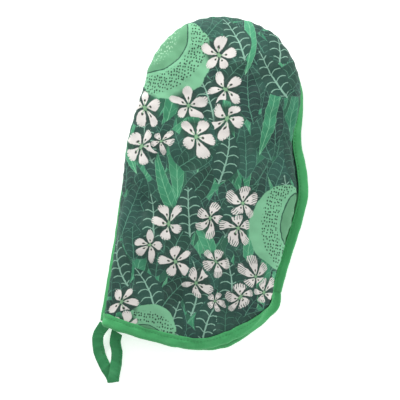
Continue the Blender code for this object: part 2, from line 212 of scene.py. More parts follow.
# %% [markdown]
# A padded panel bulges between its seams. Each one is a grid: columns follow the outline, and
# rows run from the middle line out to the seam along a rounded curve. In the straight body the
# rows lie across; round the finger end they fan out from one point. The grid also keeps each
# point's place on the flat cloth, measured along the rows, so that the print lies on the cloth
# as it does on the real one and isn't stretched down the sides.

# %% Grids of cloth
TOP = [(0.0, 0.040), (0.06, 0.052), (0.14, 0.062), (DOME, 0.062)]
FULL = 2.2
SPANS_BODY, SPANS_ROUND, ROWS = 120, 150, 44


def edge_columns(first=0.0):
    """Places along the outline: t up the left side, q round the end, t back down the right."""
    t = np.linspace(first, 2, SPANS_BODY)
    return t, np.linspace(0, 1, SPANS_ROUND)[1:-1]


def back_grid():
    """Points of the back's outer surface, from the middle line to the seam, and its rims."""
    t, q_round = edge_columns()
    sides = {w: body_y(t, np.full_like(t, w)) for w in (-1, 1)}
    q = np.concatenate([left_q(sides[-1]), q_round, right_q(sides[1])[::-1]])
    rim = Rim(q)
    a = np.linspace(np.pi / 2, 0, ROWS)
    w, h = rounded(a, FULL)
    count = len(t)
    left, right = rim.side[:count], rim.side[::-1][:count]
    middle, half = (left[:, 0] + right[:, 0]) / 2, (right[:, 0] - left[:, 0]) / 2
    top = smooth(TOP, body_y(t, 0.0))
    halves = []
    for sign, side in ((-1, left), (1, right)):
        x = middle[:, None] + sign * w * half[:, None]
        y = body_y(t[:, None], sign * w)
        z = side[:, 2:] + (top[:, None] - side[:, 2:]) * h
        halves.append(np.stack([x, y, z], -1))
    end = rim.side[count:-count]
    hub = np.array([*CENTRE, TOP[-1][1]])
    plan = hub[:2] + (end[:, None, :2] - hub[:2]) * w[:, None]
    z = end[:, None, 2] + (hub[2] - end[:, None, 2]) * h
    fan = np.concatenate([plan, z[..., None]], -1)
    return np.concatenate([halves[0], fan, halves[1][::-1]]), rim


def tucked(points, rim, above, rows=9):
    """Carries a panel from its side round and under to the seam, and on into the tape."""
    a = np.linspace(0, np.pi / 2, rows)[1:]
    out, drop = rim.out[:, None], rim.drop[:, None, None]
    start = points[:, -1][:, None]
    turn = (start - out * (rim.tuck[:, None, None] * (1 - np.cos(a))[:, None])
            - np.array([0, 0, 1.0]) * (drop * np.sin(a)[:, None]))
    into = [rim.seam + rim.along * s + rim.over * (above * 0.9 * MM) for s in (0.0025, 0.0055)]
    return np.concatenate([points, turn] + [p[:, None] for p in into], 1)


back_points, back_rim = back_grid()
print("back panel:", back_points.shape[0], "columns of", back_points.shape[1], "points")

# %% [markdown]
# Cloth is never smooth. The panels get slow swells from the wadding, soft creases where the
# mitt has been handled, and small puckers all along the seams, where the tape was eased on.
# The heights are added square to the surface, and they die away towards the seam line itself.

# %% Swells, creases and puckers
def square_to(points, above):
    """Directions square to a grid, away from the padding; above is 1 for an upper panel."""
    n = above * np.cross(np.gradient(points, axis=0), np.gradient(points, axis=1))
    n /= np.maximum(np.linalg.norm(n, axis=-1, keepdims=True), 1e-15)
    n[:, 0] = (0, 0, above)
    return n


def swell(places, size, seed):
    """A smooth random height of about -1 to 1 over the flat cloth, with waves of this size."""
    rng = np.random.default_rng(seed)
    total = 0
    for _ in range(9):
        angle, phase, scale = rng.uniform(0, np.pi), rng.uniform(0, 6.3), rng.uniform(0.7, 1.6)
        way = np.array([np.cos(angle), np.sin(angle)]) / (size * scale)
        total = total + np.sin(2 * np.pi * places @ way + phase)
    return total / 3.4


def crease(places, start, end, width):
    """1 on the line from start to end on the flat cloth, and 0 a width away from it."""
    start, end = np.array(start), np.array(end)
    run = end - start
    t = np.clip(((places - start) @ run) / (run @ run), 0, 1)
    away = np.linalg.norm(places - start - t[..., None] * run, axis=-1)
    return np.exp(-(away / width) ** 2) * np.sin(np.pi * np.clip(t * 0.9 + 0.05, 0, 1))


def flat_places(points, out, plain):
    """Places on the flat cloth: plain rows step as they do in plan, the rest straight out."""
    step = np.diff(points, axis=1)
    length = np.linalg.norm(step, axis=-1, keepdims=True)
    way = step[..., :2] + 1e-9 * out[:, None, :2]
    way /= np.linalg.norm(way, axis=-1, keepdims=True)
    way[:, plain - 1:] = out[:, None, :2]
    return np.cumsum(np.concatenate([points[:, :1, :2], way * length], 1), axis=1)


CREASES = [((-0.055, 0.205), (-0.010, 0.222), 0.0055, -1.5), ((0.030, 0.196), (0.072, 0.226), 0.006, -1.9),
           ((0.040, 0.236), (0.078, 0.240), 0.005, -1.4), ((-0.070, 0.120), (-0.035, 0.131), 0.005, -1.1),
           ((0.012, 0.118), (0.050, 0.100), 0.006, -1.2), ((-0.030, 0.285), (0.000, 0.300), 0.005, -1.0),
           ((-0.045, 0.060), (-0.062, 0.085), 0.005, -1.1), ((0.020, 0.262), (0.048, 0.285), 0.005, -1.0)]


def soften(points, places, rim, above, amount=1.0, seed=3):
    """The grid with its swells, creases and puckers."""
    step = np.linalg.norm(np.diff(points, axis=1), axis=-1)
    from_edge = np.cumsum(step[:, ::-1], axis=1)[:, ::-1]
    from_edge = np.concatenate([from_edge, 0 * from_edge[:, :1]], 1)
    inside = 1 - np.exp(-(from_edge / 0.007) ** 2)
    height = 1.6 * swell(places, 0.085, seed) + 1.7 * swell(places, 0.034, seed + 1)
    height += 0.5 * swell(places, 0.014, seed + 2)
    for start, end, width, depth in CREASES:
        height += 1.5 * depth * crease(places, start, end, 1.3 * width)
    run = rim.path[:, None] + 0.004 * swell(places, 0.05, seed + 3)
    pucker = np.abs(np.sin(np.pi * run / 0.0125)) ** 0.8 - 0.6
    reach = 0.0085 * np.clip(1 + 0.5 * swell(places, 0.04, seed + 4), 0.5, 1.6)
    height = height * inside + 2.1 * pucker * np.exp(-from_edge / reach) * (1 - np.exp(-from_edge / 0.0012))
    return points + square_to(points, above) * (height * amount * MM)[..., None]


back_places = flat_places(back_points, back_rim.out, ROWS)
back_points = soften(back_points, back_places, back_rim, 1)
print("creases and puckers on", back_points.shape[0] * back_points.shape[1], "points")

# %% [markdown]
# Every piece of cloth becomes a mesh that knows its place on the flat cloth, as a map named
# "cloth" in metres. The print and the weave are drawn in that map, so a thread is as wide on
# one piece as on the next.

# %% Meshes
def add_mesh(name, verts, faces, places, material):
    mesh = bpy.data.meshes.new(name)
    mesh.from_pydata((np.asarray(verts).reshape(-1, 3) + HOME).tolist(), [], faces.tolist())
    layer = mesh.uv_layers.new(name="cloth")
    layer.data.foreach_set("uv", np.asarray(places, np.float32).reshape(-1))
    mesh.materials.append(material)
    bm = bmesh.new()
    bm.from_mesh(mesh)
    bmesh.ops.remove_doubles(bm, verts=bm.verts, dist=2e-6)
    bm.to_mesh(mesh)
    bm.free()
    mesh.shade_smooth()
    obj = bpy.data.objects.new(name, mesh)
    bpy.context.scene.collection.objects.link(obj)
    return obj


def add_grid(name, points, places, above, material):
    """An open sheet over a grid."""
    columns, rows = points.shape[:2]
    i, j = np.meshgrid(np.arange(columns - 1), np.arange(rows - 1), indexing="ij")
    corner = (i * rows + j).ravel()
    faces = np.stack([corner, corner + rows, corner + rows + 1, corner + 1], 1)
    if above < 0:
        faces = faces[:, ::-1]
    return add_mesh(name, points, faces, places.reshape(-1, 2)[faces], material)


def add_band(name, rings, run, material):
    """A closed band through a run of rings, each a closed loop of points, with its ends capped."""
    count, size = rings.shape[:2]
    i, j = np.meshgrid(np.arange(count - 1), np.arange(size), indexing="ij")
    i, j = i.ravel(), j.ravel()
    after = (j + 1) % size
    faces = np.stack([i * size + j, i * size + after, (i + 1) * size + after, (i + 1) * size + j], 1)
    around = np.linalg.norm(rings - np.roll(rings, 1, axis=1), axis=-1).mean(0)
    around = np.append(np.cumsum(around) - around[0], around.sum())
    places = np.stack([np.stack([run[i], around[j]], -1), np.stack([run[i], around[j + 1]], -1),
                       np.stack([run[i + 1], around[j + 1]], -1), np.stack([run[i + 1], around[j]], -1)], 1)
    obj = add_mesh(name, rings, faces, places, material)
    bm = bmesh.new()
    bm.from_mesh(obj.data)
    bmesh.ops.holes_fill(bm, edges=[e for e in bm.edges if e.is_boundary])
    bmesh.ops.recalc_face_normals(bm, faces=bm.faces)
    bm.to_mesh(obj.data)
    bm.free()
    obj.data.shade_smooth()
    return obj


def thicken(obj, thickness):
    """Gives a sheet a real thickness, inwards."""
    solidify = obj.modifiers.new("thickness", "SOLIDIFY")
    solidify.thickness = thickness
    solidify.offset = -1
    bpy.context.view_layer.objects.active = obj
    bpy.ops.object.modifier_apply(modifier=solidify.name)
    return obj


print("mesh helpers ready")

# %% [markdown]
# ## The cloths
# All the cloth here is plain-woven cotton. Each finish is built from a few shared effects: the
# weave, slow and fine colour changes in the dye, and wear. An effect is a node group that gives
# out masks and heights, and each material decides what to do with them.

# %% Node helpers
def rgb(red, green, blue):
    """A colour given on the usual 0 to 255 scale, as linear light."""
    def linear(c):
        c /= 255
        return c / 12.92 if c <= 0.04045 else ((c + 0.055) / 1.055) ** 2.4
    return (linear(red), linear(green), linear(blue), 1.0)


class Nodes:
    """Short names for the nodes used most; every argument is a socket or a plain value."""

    def __init__(self, tree):
        self.tree = tree

    def add(self, kind, *inputs, out=0, **settings):
        node = self.tree.nodes.new("ShaderNode" + kind)
        for key, value in settings.items():
            setattr(node, key, value)
        for socket, value in zip([s for s in node.inputs if s.enabled], inputs):
            self.set(socket, value)
        return node if out is None else [s for s in node.outputs if s.enabled][out]

    def set(self, socket, value):
        if isinstance(value, bpy.types.NodeSocket):
            self.tree.links.new(value, socket)
        elif value is not None:
            socket.default_value = value

    def math(self, operation, *values, clamp=False):
        return self.add("Math", *values, operation=operation, use_clamp=clamp)

    def vector(self, operation, *values):
        return self.add("VectorMath", *values, operation=operation)

    def mix(self, factor, a, b):
        node = self.add("Mix", out=None, data_type="RGBA")
        self.set(node.inputs[0], factor)
        self.set(node.inputs[6], a)
        self.set(node.inputs[7], b)
        return node.outputs[2]

    def blend_values(self, factor, a, b):
        return self.add("Mix", factor, a, b, data_type="FLOAT")

    def blend_vectors(self, factor, a, b):
        node = self.add("Mix", out=None, data_type="VECTOR")
        self.set(node.inputs[0], factor)
        self.set(node.inputs[4], a)
        self.set(node.inputs[5], b)
        return node.outputs[1]

    def parts(self, vector):
        node = self.add("SeparateXYZ", vector, out=None)
        return node.outputs[0], node.outputs[1]

    def join(self, x, y):
        return self.add("CombineXYZ", x, y, 0.0)

    def inside(self, amount, soft=0.25):
        """0 to 1 as amount passes 0, softened over a small width."""
        return self.math("MULTIPLY_ADD", amount, 1 / soft, 0.5, clamp=True)

    def use(self, group, **inputs):
        node = self.tree.nodes.new("ShaderNodeGroup")
        node.node_tree = group
        for name, value in inputs.items():
            self.set(node.inputs[name.replace("_", " ")], value)
        return node.outputs


def effect(name, inputs, outputs):
    """A new shader group with named inputs (name: default) and outputs (name: kind)."""
    tree = bpy.data.node_groups.new(name, "ShaderNodeTree")
    for label, value in inputs.items():
        kind = "Vector" if isinstance(value, tuple) else "Float"
        socket = tree.interface.new_socket(label, in_out="INPUT", socket_type="NodeSocket" + kind)
        socket.default_value = value
    for label, kind in outputs.items():
        tree.interface.new_socket(label, in_out="OUTPUT", socket_type="NodeSocket" + kind)
    start, end = tree.nodes.new("NodeGroupInput"), tree.nodes.new("NodeGroupOutput")
    return tree, Nodes(tree), start.outputs, end.inputs


print("a mid green is", [round(c, 3) for c in rgb(64, 135, 105)])

# %% [markdown]
# The weave: threads of one set pass over and under the other, and no two are quite as thick.
# Places are in millimetres, so the pitch is the real distance between threads.

# %% Weave
weave, n, given, out = effect("Plain weave", {"Place": (0.0, 0.0, 0.0), "Pitch": 0.45},
                              {"Height": "Float", "Slub": "Float"})
turns = n.vector("SCALE", given["Place"])
n.set(turns.node.inputs["Scale"], n.math("DIVIDE", math.pi, given["Pitch"]))
warp, weft = n.parts(turns)
over = n.math("MULTIPLY", n.math("SINE", warp), n.math("SINE", weft))
slub_x = n.add("TexNoise", n.vector("MULTIPLY", given["Place"], (2.6, 0.05, 1.0)), 1.0, 2.0)
slub_y = n.add("TexNoise", n.vector("MULTIPLY", given["Place"], (0.05, 2.6, 1.0)), 1.0, 2.0)
slub = n.math("ADD", slub_x, slub_y)
n.set(out["Slub"], n.math("SUBTRACT", slub, 0.5))
n.set(out["Height"], n.math("MULTIPLY_ADD", over, 0.5, n.math("MULTIPLY", slub, 0.6)))
print("weave group:", len(weave.nodes), "nodes")

# %% [markdown]
# Dye and wear: broad clouds where the dye took a little differently, a fine mottle, and a
# rubbed look that the materials use on raised threads.

# %% Dye and wear
dye, n, given, out = effect("Dye and wear", {"Place": (0.0, 0.0, 0.0)},
                            {"Cloud": "Float", "Mottle": "Float", "Rub": "Float", "Fuzz": "Float"})
n.set(out["Cloud"], n.add("TexNoise", given["Place"], 0.022, 2.0))
n.set(out["Mottle"], n.add("TexNoise", given["Place"], 0.9, 3.0))
rub = n.add("TexNoise", given["Place"], 0.07, 4.0, 0.6)
n.set(out["Rub"], n.math("MULTIPLY_ADD", rub, 4.0, -2.1, clamp=True))
fuzz = n.add("TexNoise", n.vector("MULTIPLY", given["Place"], (1.0, 3.0, 1.0)), 2.4, 2.0)
n.set(out["Fuzz"], n.math("MULTIPLY_ADD", fuzz, 8.0, -5.0, clamp=True))
print("dye group:", len(dye.nodes), "nodes")

# %% [markdown]
# ## The print
# The print is a dense garden: overlapping dark leaves with fine veins, upright blades, big
# speckled fruit and clusters of white blossom. It is drawn from general shapes, a lance-shaped
# leaf, a five-petalled flower and a round fruit, so it belongs to no maker.
#
# A layer of leaves scatters one leaf in each cell of an irregular mosaic. The mosaic is
# stretched along the leaf, and each leaf turns and bows a little by its own random amount.

# %% Leaf layer
leaves, n, given, out = effect(
    "Leaf layer", {"Place": (0.0, 0.0, 0.0), "Turn": 0.0, "Cell Width": 20.0, "Cell Length": 46.0,
                   "Half Width": 7.0, "Half Length": 26.0, "Spread": 0.5, "Bow": 0.012,
                   "Vein Gap": 4.6, "Vein Slope": 0.9, "Line Width": 1.0},
    {"Shape": "Float", "Edge": "Float", "Midrib": "Float", "Veins": "Float", "Tone": "Float",
     "Along": "Float", "Side": "Float"})
turned = n.add("VectorRotate", rotation_type="Z_AXIS", out=None)
n.set(turned.inputs["Vector"], given["Place"])
n.set(turned.inputs["Angle"], given["Turn"])
cell = n.join(given["Cell Width"], given["Cell Length"])
cell = n.vector("ADD", cell, (0.0, 0.0, 1.0))
spread_out = n.vector("DIVIDE", turned.outputs[0], cell)
mosaic = n.add("TexVoronoi", out=None, voronoi_dimensions="2D")
n.set(mosaic.inputs["Vector"], spread_out)
n.set(mosaic.inputs["Scale"], 1.0)
n.set(mosaic.inputs["Randomness"], 0.75)
local = n.vector("MULTIPLY", n.vector("SUBTRACT", spread_out, mosaic.outputs["Position"]), cell)
chance = n.add("SeparateXYZ", mosaic.outputs["Color"], out=None).outputs
own_turn = n.math("MULTIPLY", n.math("SUBTRACT", chance[0], 0.5), given["Spread"])
leaf = n.add("VectorRotate", rotation_type="Z_AXIS", out=None)
n.set(leaf.inputs["Vector"], local)
n.set(leaf.inputs["Angle"], own_turn)
x, y = n.parts(leaf.outputs[0])
bow = n.math("MULTIPLY", n.math("SUBTRACT", chance[1], 0.5), given["Bow"])
x = n.math("SUBTRACT", x, n.math("MULTIPLY", n.math("MULTIPLY", y, y), bow))
side = n.math("ABSOLUTE", x)
along = n.math("DIVIDE", y, given["Half Length"])
taper = n.math("SUBTRACT", 1.0, n.math("MULTIPLY", along, along), clamp=True)
width = n.math("MULTIPLY", n.math("MULTIPLY", taper, given["Half Width"]),
               n.math("MULTIPLY_ADD", along, -0.32, 1.0))
into = n.math("SUBTRACT", width, side)
shape = n.inside(into, 0.35)
n.set(out["Shape"], shape)
edge = n.inside(n.math("SUBTRACT", 0.22, n.math("ABSOLUTE", n.math("SUBTRACT", into, 0.25))), 0.3)
n.set(out["Edge"], edge)
rib = n.math("MULTIPLY", n.math("MULTIPLY_ADD", along, -0.16, 0.34), given["Line Width"])
rib = n.math("SUBTRACT", rib, side)
n.set(out["Midrib"], n.math("MULTIPLY", n.inside(rib, 0.3), shape))
arch = n.math("MULTIPLY", n.math("MULTIPLY", side, side), 0.075)
ladder = n.math("ADD", n.math("MULTIPLY_ADD", side, n.math("MULTIPLY", given["Vein Slope"], -1.0), y), arch)
rung = n.math("FRACT", n.math("DIVIDE", n.math("ADD", ladder, 400.0), given["Vein Gap"]))
rung = n.math("MULTIPLY", n.math("ABSOLUTE", n.math("SUBTRACT", rung, 0.5)), given["Vein Gap"])
reach = n.inside(n.math("SUBTRACT", n.math("MULTIPLY", width, 0.86), side), 0.6)
n.set(out["Veins"], n.math("MULTIPLY", n.inside(
    n.math("SUBTRACT", n.math("MULTIPLY", given["Line Width"], 0.25), rung), 0.3), reach))
n.set(out["Tone"], chance[2])
n.set(out["Along"], along)
n.set(out["Side"], n.math("MULTIPLY", chance[0], shape))
print("leaf group:", len(leaves.nodes), "nodes")

# %% [markdown]
# A blossom has five petals, narrow where they start and broad at the end. Each petal has a dark
# spot near its start and fine cuts in its end, deep and finger-like on some flowers. The middle
# is a small pale green star. A flower is drawn in its own space, one unit from middle to tip.

# %% Blossom
blossom, n, given, out = effect("Blossom", {"Local": (0.0, 0.0, 0.0), "Turn": 0.0, "Fringe": 0.0},
                                {"Petals": "Float", "Spots": "Float", "Star": "Float", "Strokes": "Float",
                                 "Reach": "Float"})
x, y = n.parts(given["Local"])
reach = n.vector("LENGTH", given["Local"])
ripple = n.math("MULTIPLY", n.math("SINE", n.math("MULTIPLY", given["Turn"], 5.0)), 0.05)
angle = n.math("ADD", n.math("ARCTAN2", y, x), given["Turn"])
sector = n.math("FRACT", n.math("DIVIDE", n.math("ADD", angle, 20 * math.pi), 2 * math.pi / 5))
bend = n.math("MULTIPLY", n.math("SUBTRACT", sector, 0.5), 2 * math.pi / 5)
along = n.math("MULTIPLY", reach, n.math("COSINE", bend))
aside = n.math("MULTIPLY", reach, n.math("SINE", bend))
off = n.math("ABSOLUTE", aside)
share = n.math("DIVIDE", n.math("SUBTRACT", along, 0.12), 0.86, clamp=True)
tip = n.math("POWER", share, n.math("MULTIPLY_ADD", given["Fringe"], 3.4, 2.5))
blunt = n.math("SQRT", n.math("SUBTRACT", 1.0, tip, clamp=True))
wide = n.math("MULTIPLY", n.math("MULTIPLY", n.math("POWER", share, 0.82), blunt),
              n.math("ADD", 0.44, ripple))
petal = n.inside(n.math("SUBTRACT", wide, off), 0.035)
comb = n.math("FRACT", n.math("MULTIPLY_ADD", aside, 8.5, 10.5))
comb = n.math("ABSOLUTE", n.math("SUBTRACT", comb, 0.5))
start = n.math("ADD", n.math("MULTIPLY_ADD", given["Fringe"], -0.24, 0.92), n.math("MULTIPLY", off, -0.3))
cut = n.math("MULTIPLY", n.inside(n.math("SUBTRACT", along, start), 0.06),
             n.inside(n.math("SUBTRACT", comb, n.math("MULTIPLY_ADD", given["Fringe"], -0.06, 0.38)), 0.12))
n.set(out["Petals"], n.math("MULTIPLY", petal, n.math("SUBTRACT", 1.0, cut), clamp=True))
spot = n.vector("LENGTH", n.join(n.math("MULTIPLY", n.math("SUBTRACT", along, 0.37), 0.8), aside))
n.set(out["Spots"], n.inside(n.math("SUBTRACT", 0.058, spot), 0.03))
ray = n.math("MULTIPLY", n.inside(n.math("SUBTRACT", 0.022, off), 0.02),
             n.inside(n.math("SUBTRACT", 0.33, along), 0.05))
n.set(out["Star"], n.math("MAXIMUM", ray, n.inside(n.math("SUBTRACT", 0.105, reach), 0.03)))
line = n.math("ABSOLUTE", n.math("SUBTRACT", n.math("FRACT", n.math("MULTIPLY_ADD", aside, 17.0, 10.0)), 0.5))
stroke = n.math("MULTIPLY", n.inside(n.math("SUBTRACT", line, 0.43), 0.1),
                n.inside(n.math("SUBTRACT", along, 0.80), 0.1))
n.set(out["Strokes"], n.math("MULTIPLY", stroke, petal))
n.set(out["Reach"], reach)
print("blossom group:", len(blossom.nodes), "nodes")

# %% [markdown]
# A fruit is a big pale round. A thin dark curve crosses it, with a band of short dark dashes
# beside it, and the far side is sprinkled with pale specks.

# %% Fruit
fruit, n, given, out = effect("Fruit", {"Local": (0.0, 0.0, 0.0), "Place": (0.0, 0.0, 0.0)},
                              {"Shape": "Float", "Curve": "Float", "Dashes": "Float", "Specks": "Float",
                               "Shade": "Float"})
wobble = n.add("TexNoise", given["Place"], 0.05, 1.0)
size = n.math("MULTIPLY_ADD", wobble, 0.22, n.vector("LENGTH", given["Local"]))
shape = n.inside(n.math("SUBTRACT", 1.12, size), 0.02)
n.set(out["Shape"], shape)
bent = n.vector("LENGTH", n.vector("SUBTRACT", given["Local"], (-0.55, 0.45, 0.0)))
bent = n.math("MULTIPLY_ADD", wobble, 0.06, bent)
n.set(out["Curve"], n.math("MULTIPLY", shape, n.inside(
    n.math("SUBTRACT", 0.016, n.math("ABSOLUTE", n.math("SUBTRACT", bent, 0.93))), 0.012)))
dash = n.add("TexVoronoi", out=None, voronoi_dimensions="2D")
n.set(dash.inputs["Vector"], n.vector("MULTIPLY", given["Place"], (0.36, 0.29, 1.0)))
n.set(dash.inputs["Scale"], 1.0)
n.set(dash.inputs["Randomness"], 0.55)
mark = n.inside(n.math("SUBTRACT", 0.27, dash.outputs["Distance"]), 0.08)
band = n.math("MULTIPLY", n.inside(n.math("SUBTRACT", bent, 1.02), 0.03),
              n.inside(n.math("SUBTRACT", 1.44, bent), 0.03))
n.set(out["Dashes"], n.math("MULTIPLY", n.math("MULTIPLY", mark, band), shape))
speck = n.add("TexVoronoi", out=None, voronoi_dimensions="2D")
n.set(speck.inputs["Vector"], given["Place"])
n.set(speck.inputs["Scale"], 0.3)
speckle = n.inside(n.math("SUBTRACT", 0.22, speck.outputs["Distance"]), 0.1)
zone = n.inside(n.math("SUBTRACT", n.math("MULTIPLY_ADD", wobble, 0.5, 0.38), bent), 0.2)
n.set(out["Specks"], n.math("MULTIPLY", n.math("MULTIPLY", speckle, zone), shape))
n.set(out["Shade"], n.math("MULTIPLY", n.inside(n.math("SUBTRACT", bent, 0.93), 0.01), shape))
print("fruit group:", len(fruit.nodes), "nodes")

# %% [markdown]
# The printed pieces share one finish. Leaves are laid over each other in several layers, from
# the darkest ground up to the mid-green blades; then come the fruits and the blossoms. Each
# flower and fruit has its own place on the mitt, in millimetres, and the nearest one wins.

# %% Where the flowers and fruits are
def on_cloth(x, y):
    """The place on the back's flat cloth, in millimetres, of a point seen from above."""
    away = np.linalg.norm(back_points[..., :2] - np.array([x, y]) * MM, axis=-1)
    return back_places[np.unravel_index(np.argmin(away), away.shape)] / MM


# (across, up, radius, how fringed, turn)
FLOWERS = [(-12, 290, 16, 0.0, 0.3), (-2, 259, 17.5, 0.1, 1.1), (-35, 238, 18, 0.0, 0.1), (5, 227, 17.5, 0.1, 0.8),
           (-20, 207, 18, 0.0, 0.5), (-77, 224, 17, 0.0, 1.3), (-75, 188, 17.5, 0.1, 0.6), (-55, 195, 11, 0.7, 0.9),
           (33, 151, 15, 1.0, 0.2), (-36, 119, 16, 0.2, 1.0), (3, 126, 15.5, 0.9, 0.7), (34, 123, 15, 1.0, 1.2),
           (-52, 93, 14, 0.0, 0.4), (-22, 84, 15, 0.1, 0.0), (4, 64, 15, 0.6, 0.9), (19, 88, 14.5, 0.9, 0.5),
           (56, 85, 15.5, 1.0, 0.1), (24, 50, 10, 1.0, 0.6), (46, 56, 12, 1.0, 0.2), (73, 67, 13, 0.9, 1.1),
           (-66, 33, 17, 0.0, 0.7), (-62, 12, 12, 0.1, 0.2)]
FRUITS = [(-61, 281, 43, 0.0), (88, 130, 42, 2.15), (-37, 9, 27, 4.2)]
flower_places = [on_cloth(x, y) for x, y, *_ in FLOWERS]
fruit_places = [on_cloth(x, y) for x, y, *_ in FRUITS]
print(len(FLOWERS), "flowers and", len(FRUITS), "fruits")

# %% The printed cotton
def new_material(name, roughness):
    material = bpy.data.materials.new(name)
    material.use_nodes = True
    shader = material.node_tree.nodes["Principled BSDF"]
    shader.inputs["Roughness"].default_value = roughness
    shader.inputs["Specular IOR Level"].default_value = 0.25
    n = Nodes(material.node_tree)
    cloth = n.tree.nodes.new("ShaderNodeUVMap")
    cloth.uv_map = "cloth"
    place = n.vector("SCALE", cloth.outputs[0])
    place.node.inputs["Scale"].default_value = 1 / MM
    return material, n, shader.inputs, place


def bump(n, shader, height, strength, depth):
    node = n.tree.nodes.new("ShaderNodeBump")
    node.inputs["Strength"].default_value = strength
    node.inputs["Distance"].default_value = depth
    n.set(node.inputs["Height"], height)
    n.set(shader["Normal"], node.outputs[0])


LEAF_LAYERS = [
    # turn, cell w and l, half width and length, spread, bow, vein gap, slope, colours, veins, least tone
    (0.15, 22, 62, 7.0, 44, 0.7, 0.008, 9.0, 1.6, rgb(44, 122, 90), rgb(64, 144, 108), rgb(112, 184, 146), 0.05),
    (0.50, 26, 44, 11.5, 28, 1.2, 0.012, 6.0, 0.8, rgb(20, 56, 50), rgb(34, 80, 68), rgb(80, 142, 116), 0.15),
    (0.20, 30, 80, 7.5, 44, 0.9, 0.010, 10.0, 1.7, rgb(46, 126, 90), rgb(66, 148, 108), rgb(120, 190, 148), 0.32),
    (-0.50, 27, 50, 11.5, 29, 1.0, 0.012, 6.6, 0.9, rgb(21, 56, 51), rgb(36, 82, 70), rgb(84, 146, 122), 0.30),
    (-0.10, 30, 54, 12.5, 30, 1.0, 0.013, 6.2, 0.9, rgb(22, 56, 52), rgb(34, 80, 70), rgb(88, 150, 126), 0.42),
    (-0.35, 34, 90, 6.5, 44, 0.8, 0.010, 9.0, 1.6, rgb(50, 132, 96), rgb(68, 152, 112), rgb(126, 196, 152), 0.50),
    (0.75, 34, 60, 12.0, 28, 0.9, 0.012, 6.4, 1.0, rgb(20, 56, 48), rgb(30, 76, 62), rgb(92, 154, 128), 0.60),
]

printed, n, shader, place = new_material("printed cotton", 0.88)
threads = n.use(weave, Place=place)
taken = n.use(dye, Place=place)
shaky = n.add("TexNoise", place, 0.35, 1.0, out=1)
drawn = n.vector("MULTIPLY_ADD", n.vector("SUBTRACT", shaky, (0.5, 0.5, 0.5)), (1.3, 1.3, 0.0), place)
colour = n.mix(taken["Cloud"], rgb(20, 54, 47), rgb(50, 124, 92))
for turn, cw, cl, hw, hl, spread, bow, gap, slope, dark, light, vein, least in LEAF_LAYERS:
    layer = n.use(leaves, Place=n.vector("ADD", drawn, (turn * 90, turn * 55, 0.0)), Turn=turn,
                  Cell_Width=float(cw), Cell_Length=float(cl), Half_Width=float(hw), Half_Length=float(hl),
                  Spread=spread, Bow=bow, Vein_Gap=gap, Vein_Slope=slope)
    there = n.math("MULTIPLY", layer["Shape"], n.math("GREATER_THAN", layer["Tone"], least))
    leaf = n.mix(n.math("FRACT", n.math("MULTIPLY", layer["Tone"], 7.3)), dark, light)
    leaf = n.mix(n.math("MULTIPLY", layer["Veins"], 0.62), leaf, vein)
    leaf = n.mix(n.math("MULTIPLY", layer["Midrib"], 0.8), leaf, vein)
    leaf = n.mix(n.math("MULTIPLY", layer["Edge"], 0.75), leaf, vein)
    colour = n.mix(there, colour, leaf)
print("leaves laid in", len(LEAF_LAYERS), "layers")

# %% [markdown]
# Some leaves carry a bold pale skeleton: a thick midrib with a few pairs of side veins that arch
# out and stop before the edge. They're a sparse layer of their own.

# %% Pale skeletons
bold = n.use(leaves, Place=n.vector("ADD", drawn, (31.0, 17.0, 0.0)), Turn=-0.25, Cell_Width=36.0,
             Cell_Length=60.0, Half_Width=13.5, Half_Length=28.0, Spread=1.0, Bow=0.018, Vein_Gap=8.6,
             Vein_Slope=1.0, Line_Width=2.0)
picked = n.math("GREATER_THAN", bold["Tone"], 0.50)
body = n.math("MULTIPLY", bold["Shape"], picked)
colour = n.mix(body, colour, n.mix(taken["Cloud"], rgb(23, 60, 52), rgb(34, 80, 68)))
lines = n.math("MAXIMUM", bold["Veins"], bold["Midrib"])
colour = n.mix(n.math("MULTIPLY", n.math("MULTIPLY", lines, picked), 0.85), colour, rgb(143, 190, 168))
print("skeletons drawn")

# %% [markdown]
# The nearest fruit and the nearest flower are found by a chain of choices, one for each place.

# %% Fruits and blossoms
def nearest(n, place, spots, limit):
    """Local space of the spot that this place lies in, and that spot's two own values."""
    local, first, second = (9.0, 9.0, 0.0), 0.0, 0.0
    for (x, y), radius, own, other in spots:
        here = n.vector("MULTIPLY_ADD", place, (1 / radius, 1 / radius, 0.0), (-x / radius, -y / radius, 0.0))
        close = n.math("LESS_THAN", n.vector("LENGTH", here), limit)
        local = n.blend_vectors(close, local, here)
        first = n.blend_values(close, first, own)
        second = n.blend_values(close, second, other)
    return local, first, second


spots = [(p, f[2], f[3], 0.0) for p, f in zip(fruit_places, FRUITS)]
local, turn, _ = nearest(n, drawn, spots, 1.3)
rolled = n.add("VectorRotate", rotation_type="Z_AXIS", out=None)
n.set(rolled.inputs["Vector"], local)
n.set(rolled.inputs["Angle"], turn)
ball = n.use(fruit, Local=rolled.outputs[0], Place=drawn)
skin = n.mix(ball["Shade"], rgb(96, 156, 116), rgb(122, 188, 146))
skin = n.mix(n.math("MULTIPLY", ball["Specks"], 0.8), skin, rgb(170, 216, 180))
skin = n.mix(ball["Dashes"], skin, rgb(26, 66, 48))
skin = n.mix(ball["Curve"], skin, rgb(36, 84, 64))
colour = n.mix(ball["Shape"], colour, skin)

